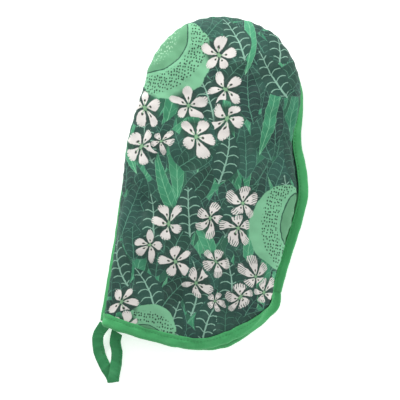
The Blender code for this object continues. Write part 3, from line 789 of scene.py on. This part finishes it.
over = n.use(leaves, Place=n.vector("ADD", drawn, (12.0, 40.0, 0.0)), Turn=-0.45, Cell_Width=44.0,
             Cell_Length=74.0, Half_Width=10.0, Half_Length=30.0, Spread=0.7, Bow=0.014, Vein_Gap=6.5,
             Vein_Slope=0.9)
right, _ = n.parts(place)
falls = n.math("MULTIPLY", over["Shape"], n.math("GREATER_THAN", over["Tone"], 0.4))
falls = n.math("MULTIPLY", falls, n.math("GREATER_THAN", right, 30.0))
leaf = n.mix(n.math("MULTIPLY", n.math("MAXIMUM", over["Veins"], over["Midrib"]), 0.7),
             rgb(30, 70, 60), rgb(74, 136, 110))
colour = n.mix(falls, colour, leaf)

lazy = n.add("TexNoise", place, 0.045, 0.0, out=1)
swayed = n.vector("MULTIPLY_ADD", n.vector("SUBTRACT", lazy, (0.5, 0.5, 0.5)), (13.0, 13.0, 0.0), drawn)
spots = [(p, f[2] * 1.08, f[3], f[4]) for p, f in zip(flower_places, FLOWERS)]
local, fringe, turn = nearest(n, swayed, spots, 1.06)
bloom = n.use(blossom, Local=local, Turn=turn, Fringe=fringe)
halo = n.math("MULTIPLY", n.inside(n.math("SUBTRACT", 0.80, bloom["Reach"]), 0.3), 0.85)
colour = n.mix(halo, colour, rgb(27, 58, 50))
white = n.mix(taken["Mottle"], rgb(214, 208, 203), rgb(232, 228, 224))
white = n.mix(n.math("MULTIPLY", bloom["Strokes"], 0.4), white, rgb(120, 150, 125))
colour = n.mix(bloom["Petals"], colour, white)
colour = n.mix(bloom["Spots"], colour, rgb(44, 48, 42))
colour = n.mix(n.math("MULTIPLY", bloom["Star"], 0.9), colour, rgb(128, 176, 132))
print("print drawn with", len(n.tree.nodes), "nodes")

# %% [markdown]
# Ink on cotton is never solid. Raised threads take less, so the weave shows through as a fine
# grain, slubs make thin light lines, and rubbed places are a little paler and rougher.

# %% Ink on cotton
grain = n.math("MULTIPLY_ADD", threads["Slub"], 0.5, n.math("MULTIPLY", threads["Height"], 0.16))
grain = n.math("MULTIPLY_ADD", n.math("SUBTRACT", taken["Mottle"], 0.5), 0.35, grain)
colour = n.mix(n.math("MULTIPLY", n.math("SUBTRACT", grain, 0.12, clamp=True), 0.13), colour, rgb(188, 206, 196))
colour = n.mix(n.math("MULTIPLY", taken["Rub"], 0.05), colour, rgb(190, 204, 196))
n.set(shader["Base Color"], colour)
n.set(shader["Roughness"], n.math("MULTIPLY_ADD", taken["Rub"], 0.08, 0.84))
shader["Sheen Weight"].default_value = 0.03
shader["Sheen Roughness"].default_value = 0.6
bump(n, shader, n.math("MULTIPLY_ADD", taken["Fuzz"], 0.25, threads["Height"]), 0.45, 0.00012)
print("printed cotton:", len(n.tree.nodes), "nodes")

# %% [markdown]
# The bias tape is cut on the slant, so its threads run at 45 degrees. Its green is plain, with a paler rubbed fold
# and darker shade where the stitches pull it in. The loop is the same tape with two layers of cloth, given a darker
# copy of the tape's greens.

# %% Bias tape
def tape_material(name, deep, bright):
    material, n, shader, place = new_material(name, 0.82)
    slant = n.add("VectorRotate", rotation_type="Z_AXIS", out=None)
    n.set(slant.inputs["Vector"], place)
    slant.inputs["Angle"].default_value = math.pi / 4
    threads = n.use(weave, Place=slant.outputs[0], Pitch=0.5)
    taken = n.use(dye, Place=place)
    colour = n.mix(taken["Cloud"], deep, bright)
    colour = n.mix(n.math("MULTIPLY_ADD", threads["Slub"], 0.35, 0.1, clamp=True), colour,
                   tuple(min(1.0, c * 1.5) for c in bright))
    colour = n.mix(n.math("MULTIPLY", taken["Mottle"], 0.22), colour, deep)
    colour = n.mix(n.math("MULTIPLY", taken["Rub"], 0.12), colour, rgb(150, 205, 165))
    n.set(shader["Base Color"], colour)
    n.set(shader["Roughness"], n.math("MULTIPLY_ADD", taken["Rub"], 0.08, 0.8))
    shader["Sheen Weight"].default_value = 0.15
    creases = n.add("TexNoise", n.vector("MULTIPLY", place, (0.22, 0.05, 1.0)), 1.0, 3.0)
    height = n.math("MULTIPLY_ADD", creases, 3.0, threads["Height"])
    bump(n, shader, height, 0.45, 0.00014)
    return material


tape = tape_material("bias tape", rgb(50, 140, 80), rgb(76, 168, 104))
loop_tape = tape_material("loop tape", rgb(38, 112, 68), rgb(58, 140, 88))
print("tape materials ready")

# %% [markdown]
# The lining is undyed cotton, and the wadding is a soft needled felt. Both are seen only
# through the cuff. The sewing thread is a two-ply twist.

# %% Lining, wadding and thread
lining, n, shader, place = new_material("lining cotton", 0.9)
threads = n.use(weave, Place=place, Pitch=0.55)
taken = n.use(dye, Place=place)
colour = n.mix(taken["Cloud"], rgb(224, 217, 200), rgb(238, 233, 220))
colour = n.mix(n.math("MULTIPLY_ADD", threads["Slub"], 0.4, 0.15, clamp=True), colour, rgb(205, 196, 176))
colour = n.mix(n.math("MULTIPLY", taken["Rub"], 0.18), colour, rgb(196, 186, 166))
n.set(shader["Base Color"], colour)
bump(n, shader, threads["Height"], 0.5, 0.00016)

felt, n, shader, place = new_material("wadding", 0.95)
taken = n.use(dye, Place=place)
fibres = n.add("TexNoise", n.vector("MULTIPLY", place, (1.6, 0.5, 1.0)), 1.0, 4.0, 0.6)
colour = n.mix(fibres, rgb(214, 211, 204), rgb(244, 243, 239))
n.set(shader["Base Color"], n.mix(n.math("MULTIPLY", taken["Rub"], 0.2), colour, rgb(200, 196, 186)))
bump(n, shader, fibres, 0.7, 0.0006)

sewing, n, shader, place = new_material("sewing thread", 0.6)
taken = n.use(dye, Place=place)
x, y = n.parts(place)
twist = n.math("SINE", n.math("MULTIPLY", n.math("ADD", x, n.math("MULTIPLY", y, 2.0)), 9.0))
# Painted highlight and painted shade: the thread's green is lighter on the crests of the twist and darker in its
# grooves.
colour = n.mix(n.math("MULTIPLY_ADD", twist, 0.3, 0.5), rgb(46, 132, 76), rgb(80, 168, 108))
n.set(shader["Base Color"], n.mix(n.math("MULTIPLY", taken["Mottle"], 0.3), colour, rgb(44, 116, 70)))
bump(n, shader, twist, 0.6, 0.0001)
print("lining, wadding and thread ready")

# %% [markdown]
# ## The back
# The back panel is one printed cloth, cut whole from the cuff to the fingertips. Under it lie
# the wadding and the lining. The cloth goes on round the padded side to the seam, and its last
# few millimetres lie inside the tape.

# %% The back panel
SHELL, GAP, WADDING, LINING, STACK, TAPE = 0.0008, 0.0003, 0.0030, 0.0008, 0.0052, 0.0008


def put(obj, body, nodes):
    """Attaches a piece to its body when one is named, or else bakes its place into the mesh, and hides the solid
    nodes it stands for.
    """
    if isinstance(body, str):
        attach(obj, body)
    else:
        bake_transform(obj)
    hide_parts(*nodes)
    return obj


def inner_grid(points, places, rim, above, depth, plain, step=2, seam_in=0.0):
    """A cloth under a panel: the panel's grid moved inwards, thinner in points, and its seam row."""
    n = square_to(points[:, :plain], above)
    inner = points[:, :plain] - n * depth
    inner[:, -1] -= rim.out * depth * 0.2
    last = rim.seam - rim.out * (depth + seam_in) + np.array([0, 0, above]) * 0.0004
    inner = np.concatenate([inner[:, ::step], last[:, None]], 1)
    flat = np.concatenate([places[:, :plain:step], places[:, plain:plain + 1]], 1)
    keep = np.unique(np.append(np.arange(0, len(inner), step), len(inner) - 1))
    return inner[keep], flat[keep]


back_cloth = tucked(back_points, back_rim, 1)
back_flat = flat_places(back_cloth, back_rim.out, ROWS)
back_shell = add_grid("back_printed_cloth", back_cloth, back_flat, 1, printed)
put(back_shell, "mitt", ["back_shell"])

felt_points, felt_flat = inner_grid(back_cloth, back_flat, back_rim, 1, SHELL + GAP, ROWS)
back_felt = thicken(add_grid("back_padding", felt_points, felt_flat, 1, felt), WADDING)
put(back_felt, "mitt", ["back_wadding"])

lining_points, lining_flat = inner_grid(back_cloth, back_flat, back_rim, 1, STACK - LINING, ROWS)
back_lining = add_grid("back_lining_cloth", lining_points, lining_flat, 1, lining)
put(back_lining, "mitt", ["back_lining"])

# %% [markdown]
# ## The palm and the thumb's outer side
# Underneath, one more printed cloth runs from the cuff over the palm and out over the thumb.
# It narrows from the mitt's seams to the thumb's at the crotch. It is one cloth across the hinge, laid in place on
# its own, not joined to the mitt or the thumb.

# %% Palm and thumb cloth
THUMB_HALF, THUMB_DOME, THUMB_TIP, THUMB_TOP = 0.058, 0.238, 0.288, 0.028
THUMB_EDGE, FLATTEN, BELLY = 0.222, 1.08, 0.029
THUMB_SEAM = [(0.0, 0.016), (0.5, 0.012), (1.0, 0.016)]
UNDERSIDE = [(0.0, 0.0022), (0.012, 0.0022), (0.04, 0.0)]
NONE = [(0.0, 0.0), (1.0, 0.0)]


def thumb_outline(q):
    q = np.asarray(q, float)
    a = np.pi * np.clip(q, 0, 1)
    x = -np.sign(np.cos(a)) * np.abs(np.cos(a)) ** (2 / 2.3)
    end_y = THUMB_DOME + (THUMB_TIP - THUMB_DOME) * np.abs(np.sin(a)) ** (2 / 2.3)
    y = np.where(q < 0, THUMB_DOME + q * SIDE_UNIT, np.where(q > 1, THUMB_DOME - (q - 1) * SIDE_UNIT, end_y))
    return np.stack([THUMB_X + THUMB_HALF * x, y], -1)


def thumb_rim(q):
    return Rim(q, thumb_outline, THUMB_SEAM, NONE, NONE, NONE, flutter=2.0)


def merge_rims(mitt, thumb, share):
    """One rim that goes over from the mitt's to the thumb's."""
    for name in ("seam", "along", "over", "out"):
        a, b = getattr(mitt, name), getattr(thumb, name)
        mixed = a + (b - a) * share[:, None]
        if name != "seam":
            mixed /= np.linalg.norm(mixed, axis=-1, keepdims=True)
        setattr(mitt, name, mixed)
    return mitt


def under_grid():
    """The palm and thumb cloth, from the middle line to the seams, and its rims."""
    t = np.linspace(0, 1, 110)
    neck = np.linspace(MOUTH, THUMB_DOME, 16)[1:]
    rims, halves = [], []
    for w in (-1, 1):
        y = np.concatenate([body_y(t, np.full_like(t, w), 1.0), neck])
        side = left_q if w < 0 else right_q
        own = (y - THUMB_DOME) / SIDE_UNIT if w < 0 else 1 + (THUMB_DOME - y) / SIDE_UNIT
        rims.append(merge_rims(Rim(side(y)), thumb_rim(own), ease(0.190, 0.224, y)))
    a = np.linspace(np.pi / 2, 0, ROWS)
    w, h = rounded(a, FULL)
    h = np.minimum(h * FLATTEN, 1)
    left, right = rims[0].seam, rims[1].seam
    middle, half = (left[:, 0] + right[:, 0]) / 2, (right[:, 0] - left[:, 0]) / 2
    for sign, rim in ((-1, rims[0]), (1, rims[1])):
        x = middle[:, None] + sign * w * half[:, None]
        y = np.concatenate([body_y(t[:, None], sign * w, 1.0), np.repeat(neck[:, None], ROWS, 1)])
        low = smooth(UNDERSIDE, y - cuff_line(sign * w, 1.0))
        z = rim.seam[:, 2:] + (low - rim.seam[:, 2:]) * h
        halves.append(np.stack([x, y, z], -1))
    end = thumb_rim(np.linspace(0, 1, 100)[1:-1])
    hub = np.array([THUMB_X, THUMB_DOME, 0.0])
    plan = hub[:2] + (end.seam[:, None, :2] - hub[:2]) * w[:, None]
    z = end.seam[:, None, 2] * (1 - h)
    fan = np.concatenate([plan, z[..., None]], -1)
    whole = Rim.__new__(Rim)
    for name in ("seam", "along", "over", "out"):
        a, b, c = (getattr(r, name) for r in (rims[0], end, rims[1]))
        setattr(whole, name, np.concatenate([a, b, c[::-1]]))
    gaps = np.linalg.norm(np.diff(whole.seam, axis=0, prepend=whole.seam[:1]), axis=-1)
    whole.path = np.cumsum(gaps)
    return np.concatenate([halves[0], fan, halves[1][::-1]]), whole


def into_tape(points, rim, above):
    """Carries a panel's cloth on past its seam, into the tape."""
    ends = [rim.seam + rim.along * s + rim.over * (above * 0.7 * MM) for s in (0.003, 0.0065)]
    return np.concatenate([points] + [p[:, None] for p in ends], 1)


under_points, under_rim = under_grid()
under_places = flat_places(under_points, under_rim.out, ROWS)
rest = under_points[..., 2].copy()
under_points = soften(under_points, under_places, under_rim, -1, 0.7, seed=20)
under_points[..., 2] = np.maximum(under_points[..., 2], np.minimum(rest, 0.0003))
under_cloth = into_tape(under_points, under_rim, -1)
under_flat = flat_places(under_cloth, under_rim.out, ROWS)
SHIFT = np.array([0.031, 0.012])
BEND = [(hinge.x, hinge.y - 0.028, hinge.z), (hinge.x, hinge.y + 0.016, hinge.z)]
palm = add_grid("palm_and_thumb_printed_cloth", under_cloth, under_flat + SHIFT, -1, printed)
put(palm, BEND, ["palm_shell", "thumb_outer_shell"])
for name, depth, slot, nodes in (
        ("padding", SHELL + GAP, "wadding", ["palm_wadding", "thumb_outer_wadding"]),
        ("lining_cloth", STACK - LINING, "lining_cotton", ["palm_lining", "thumb_outer_lining"])):
    points, flat = inner_grid(under_cloth, under_flat, under_rim, -1, depth, ROWS)
    piece = add_grid("palm_and_thumb_" + name, points, flat, -1, felt if slot == "wadding" else lining)
    if slot == "wadding":
        thicken(piece, WADDING)
    put(piece, BEND, nodes)

# %% [markdown]
# ## The beak
# The underside of the fingers and the inner side of the thumb face each other like a beak. On a real mitt they are
# one cloth folded at the crotch. Here the fold is a soft web between them, laid in place on its own.

# %% Finger palm and thumb inside
def dish_grid(neck, rim_of, dome, hub, height, round_count):
    """A shallow panel from the crotch round the end, from its middle line out to the seam."""
    lq, rq = (neck - dome) / SIDE_UNIT, 1 + (dome - neck) / SIDE_UNIT
    q = np.concatenate([lq, np.linspace(0, 1, round_count)[1:-1], rq[::-1]])
    rim = rim_of(q)
    r = np.linspace(0, 1, 30)
    straight = (q < 0) | (q > 1)
    middle = np.stack([np.full_like(q, hub[0]), np.where(straight, rim.seam[:, 1], hub[1])], -1)
    middle[[0, -1], 1] = neck[0]
    plan = middle[:, None] + (rim.seam[:, None, :2] - middle[:, None]) * r[:, None]
    z = height(rim.seam[:, None, 2], r)
    return np.concatenate([plan, z[..., None]], -1), rim


def belly(seam, r):
    return seam + (BELLY - seam) * (1 - r * r)


def thumb_top(seam, r):
    share = np.minimum(np.maximum(1 - r**2.6, 0) ** (1 / 2.2) * FLATTEN, 1)
    return seam + (THUMB_TOP - seam) * share


beak = {}
for name, body, grid, above, slots in (
        ("finger_palm", "mitt", dish_grid(np.linspace(MOUTH + 0.0003, DOME, 18)[:-1], Rim, DOME, CENTRE,
                                          belly, 110), -1, "finger_palm"),
        ("thumb_inside", "thumb", dish_grid(np.linspace(MOUTH + 0.0008, THUMB_DOME, 12)[:-1], thumb_rim,
                                            THUMB_DOME, (THUMB_X, THUMB_DOME), thumb_top, 80), 1,
         "thumb_inner")):
    points, rim = grid
    places = flat_places(points, rim.out, points.shape[1])
    points = soften(points, places, rim, above, 0.35, seed=40 + above)
    beak[name] = points
    cloth = into_tape(points, rim, above)
    flat = flat_places(cloth, rim.out, points.shape[1])
    piece = add_grid(name + "_printed_cloth", cloth, flat + SHIFT * 3, above, printed)
    put(piece, body, [slots + "_shell"])
    inner, flat_in = inner_grid(cloth, flat, rim, above, SHELL + GAP, points.shape[1])
    piece = thicken(add_grid(name + "_padding", inner, flat_in, above, felt), WADDING)
    put(piece, body, [slots + "_wadding"])
    inner, flat_in = inner_grid(cloth, flat, rim, above, STACK - LINING, points.shape[1])
    piece = add_grid(name + "_lining_cloth", inner, flat_in, above, lining)
    put(piece, body, [slots + "_lining"])

# %% The folded web at the crotch
upper = np.concatenate([beak["finger_palm"][0, ::-1], beak["finger_palm"][-1, 1:]])
lower = np.concatenate([beak["thumb_inside"][0, ::-1], beak["thumb_inside"][-1, 1:]])
s = np.linspace(0, 1, 9)[None, :, None]
web = upper[:, None] * (1 - s) + lower[:, None] * s
web[..., 1] -= 0.0022 * np.sin(np.pi * s[..., 0])
web_run = np.cumsum(np.linalg.norm(np.diff(upper, axis=0, prepend=upper[:1]), axis=-1))
web_flat = np.stack([np.repeat(web_run[:, None], 9, 1), np.repeat(s[0, :, 0][None] * 0.006, len(web), 0)], -1)
crotch = add_grid("crotch_fold", web, web_flat + SHIFT, 1, printed)
put(crotch, [(hinge.x, hinge.y, 0.0292), (hinge.x, hinge.y, 0.0278)], [])
print("crotch fold:", web.shape)

# %% [markdown]
# ## The tape
# A 12 mm binding folds round every edge. On the sides it folds round the seam allowances alone
# and stands out as a flat flange on the right, rolling under towards the fingertips. At the cuff
# it folds over the whole padded edge, which makes it fat and rounded. Its outer leg dips along
# the stitches, and puckers between them.

# %% Side and thumb binding
STITCH_IN, STITCH_GAP = 0.0036, 0.0034


def flange(name, rim, body, nodes, width=0.0114, seed=5):
    """Folded tape round the seam allowances of a rim."""
    face, r = 0.0014, 0.0021
    run = rim.path
    wide = width + 0.00035 * waver(run, seed) + 0.0002 * waver(run, seed + 2, 0.3)
    over_in, under_in = 0.0016, 0.0040
    x = np.concatenate([np.linspace(over_in, 1, 12), np.full(7, 1.0), np.linspace(1, under_in, 10)])
    bend = np.concatenate([np.zeros(12), np.linspace(0, np.pi, 9)[1:-1], np.full(10, np.pi)])
    x = np.concatenate([np.linspace(0, 1, 12), np.ones(7), np.linspace(1, 0, 10)])
    low = np.concatenate([np.full(19, over_in), np.full(10, under_in)])
    reach = low + (wide[:, None] - r - low) * x + r * np.sin(bend)
    height = r * np.cos(bend)
    dip = 0.00042 * np.exp(-((reach - STITCH_IN) / 0.0011) ** 2) * (0.75 + 0.25 * np.cos(2 * np.pi * run / STITCH_GAP))[:, None]
    pucker = 0.00022 * waver(run[:, None] + reach * 0.4, seed + 4, 0.22) * np.exp(-np.abs(reach - STITCH_IN) / 0.004)
    height = height - np.sign(np.cos(bend)) * (dip - pucker)
    outer = rim.seam[:, None] + rim.along[:, None] * reach[..., None] + rim.over[:, None] * height[..., None]
    thin = height - np.cos(bend) * TAPE * 0.9
    inner = rim.seam[:, None] + rim.along[:, None] * (reach - np.sin(bend) * TAPE * 0.9)[..., None] \
        + rim.over[:, None] * thin[..., None]
    rings = np.concatenate([outer, inner[:, ::-1]], 1)
    piece = add_band(name, rings, run, tape)
    put(piece, body, nodes)
    return outer


def stitches(name, line, up, body, nodes, gap=STITCH_GAP, material=sewing):
    """A row of separate stitches along a line, each sunk at its ends."""
    run = np.cumsum(np.linalg.norm(np.diff(line, axis=0, prepend=line[:1]), axis=-1))
    at = np.arange(gap, run[-1] - gap, gap)
    s = np.array([-1.15, -0.95, -0.5, 0.0, 0.5, 0.95, 1.15]) * MM
    size = np.array([0.1, 0.75, 1.0, 1.0, 1.0, 0.75, 0.1]) * 0.24 * MM
    sink = np.array([-0.35, -0.12, 0.05, 0.12, 0.05, -0.12, -0.35]) * MM
    places = at[:, None] + s
    centre = np.stack([np.interp(places, run, line[:, k]) for k in range(3)], -1)
    lift = np.stack([np.interp(places, run, up[:, k]) for k in range(3)], -1)
    way = np.gradient(centre, axis=1)
    way /= np.linalg.norm(way, axis=-1, keepdims=True)
    aside = np.cross(way, lift)
    turn = np.linspace(0, 2 * np.pi, 7)[:-1]
    verts = (centre + lift * sink[:, None])[:, :, None] \
        + (aside[:, :, None] * np.cos(turn)[:, None] + lift[:, :, None] * np.sin(turn)[:, None]) * size[:, None, None]
    block = np.arange(verts.shape[0])[:, None, None] * 42
    i, j = np.meshgrid(np.arange(6), np.arange(6), indexing="ij")
    quad = np.stack([i * 6 + j, i * 6 + (j + 1) % 6, (i + 1) * 6 + (j + 1) % 6, (i + 1) * 6 + j], -1).reshape(-1, 4)
    faces = (quad[None] + block).reshape(-1, 4)
    flat = np.stack([np.repeat(places[..., None], 6, 2), np.broadcast_to(turn * 0.24 * MM, verts.shape[:3])], -1)
    piece = add_mesh(name, verts, faces, flat.reshape(-1, 2)[faces], material)
    put(piece, body, nodes)
    return piece


outer = flange("side_binding_tape", back_rim, "mitt", ["side_binding"])
seam_line = back_rim.seam + back_rim.along * STITCH_IN + back_rim.over * 0.0019
stitches("side_binding_stitches", seam_line[4:-4], back_rim.over[4:-4], "mitt", ["side_binding_thread"])

neck = np.linspace(THUMB_EDGE, THUMB_DOME, 8)[:-1]
thumb_q = np.concatenate([(neck - THUMB_DOME) / SIDE_UNIT, np.linspace(0, 1, 90), (1 + (THUMB_DOME - neck) / SIDE_UNIT)[::-1]])
edge = thumb_rim(thumb_q)
flange("thumb_binding_tape", edge, "thumb", ["thumb_binding"], width=0.0108, seed=9)
line = edge.seam + edge.along * STITCH_IN + edge.over * 0.0019
stitches("thumb_binding_stitches", line[2:-2], edge.over[2:-2], "thumb", ["thumb_binding_thread"])
print("side tape is", round(float(back_rim.path[-1]) * 1000), "mm long")

# %% [markdown]
# The cuff tape is laid on the softened panel itself, so it follows every swell. For each place
# along the edge its outer leg steps in over the surface, and it turns round the thickness of
# the three cloths and comes back inside.

# %% Cuff binding
from mathutils.bvhtree import BVHTree


def even(line, count):
    """The same line with evenly spaced points."""
    run = np.cumsum(np.linalg.norm(np.diff(line, axis=0, prepend=line[:1]), axis=-1))
    at = np.linspace(0, run[-1], count)
    return np.stack([np.interp(at, run, line[:, k]) for k in range(3)], -1), at


def unit(v):
    return v / np.linalg.norm(v)


def cuff_tape(name, grid, above, nodes, seed):
    """Folded tape over a panel's cuff edge.

    At the right corner it slides off the padding, until all of its width stands out flat like the
    side's tape; flat says how far, from 0 to 1.
    """
    points = [tuple(p) for p in grid.reshape(-1, 3)]
    rows = grid.shape[1]
    quads = [(c * rows + r, (c + 1) * rows + r, (c + 1) * rows + r + 1, c * rows + r + 1)
             for c in range(len(grid) - 1) for r in range(rows - 1)]
    surface = BVHTree.FromPolygons(points, quads)
    edge = np.concatenate([grid[0, ::-1], grid[-1, 1:], grid[-2:-5:-1, -1]])
    edge, run = even(edge, 340)
    tangent = np.gradient(edge, axis=0)
    for k in range(3):
        tangent[4:-4, k] = np.convolve(tangent[:, k], np.ones(9) / 9, "valid")
    wide = (0.0096 + 0.00035 * waver(run, seed)) * (1 - 0.25 * ease(run[-1] - 0.022, run[-1] - 0.006, run))
    flats = np.where(edge[:, 0] > 0, ease(0.016, 0.060, edge[:, 1]), 0.0)
    sunk = 0.0010 if above > 0 else 0.0030
    upright = np.array([0.0, 0.0, 1.0])
    steps, bends = np.linspace(1, 0.05, 14), np.linspace(0, np.pi, 11)[1:-1]
    outer, inner, stitch, square = [], [], [], []
    for p, way, w, flat, at_run in zip(edge, tangent, wide, flats, run):
        way = unit(way)
        n = np.array(surface.find_nearest(Vector(p))[1])
        n = n if n[2] * above > 0 else -n
        into = unit(above * np.cross(n, way))
        level = unit(np.cross(way, upright))
        away = unit(level * flat - into * (1 - flat))
        lift = unit(upright * above * flat + n * (1 - flat))
        fall = upright * (back_rim.seam[-1, 2] - sunk - p[2]) * flat
        radius = (STACK / 2 + TAPE + 0.0004) * (1 - flat) + 0.0019 * flat
        line = w - STITCH_IN
        tops, unders = [], []
        for u in steps:
            s = w * u
            d = s - w * flat
            ripple = 0.00025 * waver(at_run + s * 0.5, seed + 3, 0.25) * math.exp(-abs(s - line) / 0.004)
            dip = 0.0004 * math.exp(-((s - line) / 0.0012) ** 2)
            high = TAPE + 0.0004 + ripple - dip * (0.75 + 0.25 * math.cos(2 * math.pi * at_run / STITCH_GAP))
            if d > 0:
                at, m, _, _ = surface.find_nearest(Vector(p + into * d))
                at, m = np.array(at), np.array(m)
                m = m if m @ n > 0 else -m
                tops.append(at + m * high)
                unders.append(at - m * (STACK + TAPE + 0.0004 + (2 * radius - STACK - 2 * TAPE) * flat))
            else:
                off = 1 - math.exp(d / 0.0022)
                here = p - away * d + fall * off
                tops.append(here + lift * high)
                unders.append(here - lift * (2 * radius - high))
        tip = p + away * w * flat * 0.95 + fall + lift * (TAPE + 0.0004 - radius)
        turn = [tip + radius * (np.cos(a) * lift + np.sin(a) * away) for a in bends]
        outer.append(tops + turn + unders[::-1])
        thin = TAPE * 0.8
        turn = [tip + (radius - thin) * (np.cos(a) * lift + np.sin(a) * away) for a in bends]
        inner.append([q - lift * thin for q in tops] + turn + [q + lift * thin for q in unders[::-1]])
        near = int(np.argmin(np.abs(w * steps - line)))
        stitch.append(tops[near])
        square.append(lift)
    rings = np.concatenate([np.array(outer), np.array(inner)[:, ::-1]], 1)
    put(add_band(name, rings[3:], run[3:], tape), "mitt", nodes[:1])
    stitches(name + "_stitches", np.array(stitch)[6:-6], np.array(square)[6:-6], "mitt", nodes[1:])


cuff_tape("cuff_tape_back", back_points, 1, ["cuff_binding_back", "cuff_binding_back_thread"], 1.0)
cuff_tape("cuff_tape_palm", under_points, -1, ["cuff_binding_palm", "cuff_binding_palm_thread"], 4.0)
print("cuff tapes laid")

# %% [markdown]
# ## The hanging loop
# The side tape runs on past the corner, folded double and stitched along one edge. It drops in
# a soft bend, folds flat on itself at its end and comes back up, with a few kinks.

# %% Hanging loop
DOWN = [(-0.0817, 0.0060, 0.0095), (-0.0865, -0.007, 0.0066), (-0.083, -0.022, 0.0030),
        (-0.076, -0.034, 0.0014), (-0.0668, -0.045, 0.0011)]
FOLD = [(-0.0638, -0.0502, 0.0023)]
UP = [(-0.0640, -0.045, 0.0036), (-0.0640, -0.032, 0.0042), (-0.0650, -0.020, 0.0052),
      (-0.0684, -0.010, 0.0074), (-0.0682, 0.0004, 0.0095)]
ROUTE = np.array(DOWN + FOLD + UP)
knots = np.arange(len(ROUTE), dtype=float)
t = np.linspace(0, knots[-1], 240)
middle = np.stack([smooth(np.stack([knots, ROUTE[:, k]], 1), t) for k in range(3)], -1)
across_end = np.array([0.9237, -0.3832, 0.0])
wides = []
for k, p in enumerate(ROUTE):
    run = ROUTE[min(k + 1, len(ROUTE) - 1)] - ROUTE[max(k - 1, 0)]
    flat = np.array([-run[1], run[0], 0.0]) / np.hypot(run[0], run[1])
    wides.append(flat * (1 if k < 5 else -1))
wides[5] = np.array([0.957, 0.290, 0.0])
wides[0] = wides[-1] = across_end
wides = np.array([w if w @ across_end > 0 else -w for w in wides])
wide = np.stack([smooth(np.stack([knots, wides[:, k]], 1), t) for k in range(3)], -1)
wide[:, 2] = 0.16 * np.sin(t * 1.9 + 0.6) * ease(0.2, 1.5, t) * (1 - ease(8.5, 9.8, t)) * (1 - np.exp(-((t - 5) / 0.8) ** 2))
wide /= np.linalg.norm(wide, axis=-1, keepdims=True)
run = np.gradient(middle, axis=0)
run /= np.linalg.norm(run, axis=-1, keepdims=True)
thick = np.cross(wide, run)
thick /= np.linalg.norm(thick, axis=-1, keepdims=True)
length = np.cumsum(np.linalg.norm(np.diff(middle, axis=0, prepend=middle[:1]), axis=-1))
turn = np.linspace(0, 2 * np.pi, 33)[:-1]
flat_x = np.sign(np.cos(turn)) * np.abs(np.cos(turn)) ** 0.35
flat_y = np.sign(np.sin(turn)) * np.abs(np.sin(turn)) ** 0.8
half = 0.00575 + 0.0003 * waver(length, 1.0, 0.4)
cup = 0.0006 * waver(length[:, None] + 0.002 * flat_x, 6.0, 0.28) * (1 - np.exp(-((t - 5) / 0.7) ** 2))[:, None]
cup = np.maximum(cup, -0.0004)
rings = middle[:, None] + wide[:, None] * (half[:, None] * flat_x)[..., None] \
    + thick[:, None] * (0.00078 * flat_y - 0.00028 * np.exp(-((flat_x - 0.6) / 0.12) ** 2) * np.sign(flat_y) + cup)[..., None]
rings[..., 2] = np.maximum(rings[..., 2], 0.0002)
loop = put(add_band("hanging_loop_tape", rings, length, loop_tape), "loop", ["hanging_loop"])
up = thick * np.sign(thick[:, 2:])
line = middle + wide * 0.0034 + up * (0.0007 + cup[:, :1])
down, back = t < 4.4, t > 5.6
stitches("loop_stitches_down", line[down][6:], up[down][6:], "loop", [])
stitches("loop_stitches_up", line[back][:-6], up[back][:-6], "loop", [])
print("loop tape is", round(float(length[-1]) * 1000), "mm long")

# %% [markdown]
# ## Table, light and view
# The mitt lies on a plain pale surface under broad soft light, seen from straight above.

# %% Stage
def plain_surface(name, colour):
    material = bpy.data.materials.new(name)
    material.use_nodes = True
    shader = material.node_tree.nodes["Principled BSDF"]
    shader.inputs["Base Color"].default_value = colour
    shader.inputs["Roughness"].default_value = 0.9
    return material


bpy.ops.mesh.primitive_plane_add(size=6.0, location=(0, 0, -0.0006))
floor = bpy.context.object
floor.name = "floor"
pale = plain_surface("pale surface", (1.0, 1.0, 1.0, 1.0))
glow = pale.node_tree.nodes["Principled BSDF"].inputs
glow["Emission Color"].default_value = (1.0, 1.0, 1.0, 1.0)
glow["Emission Strength"].default_value = 0.45
floor.data.materials.append(pale)

world = bpy.data.worlds.new("soft room")
bpy.context.scene.world = world
world.use_nodes = True
world.node_tree.nodes["Background"].inputs["Color"].default_value = (1.0, 1.0, 1.0, 1.0)
world.node_tree.nodes["Background"].inputs["Strength"].default_value = 0.46


def soft_light(name, place, size, power):
    data = bpy.data.lights.new(name, "AREA")
    data.shape = "SQUARE"
    data.size = size
    data.energy = power
    light = bpy.data.objects.new(name, data)
    light.location = place
    light.rotation_euler = (-Vector(place)).to_track_quat("-Z", "Y").to_euler()
    bpy.context.scene.collection.objects.link(light)
    return light


soft_light("upper left softbox", (-1.1, 1.5, 0.85), 0.8, 38)
soft_light("right softbox", (1.4, -0.2, 1.0), 1.2, 14)

camera = bpy.data.cameras.new("view")
view = bpy.data.objects.new("view", camera)
bpy.context.scene.collection.objects.link(view)
bpy.context.scene.camera = view
HIGH = 2.6
camera.sensor_width = 36
camera.lens = 36 * HIGH / 0.4
view.location = (-0.0098, 0.0067, 0.03 + HIGH)
view.rotation_euler = (0, 0, math.radians(9.5))
bpy.context.scene.view_settings.view_transform = "Standard"
print("camera", HIGH, "m above the mitt")
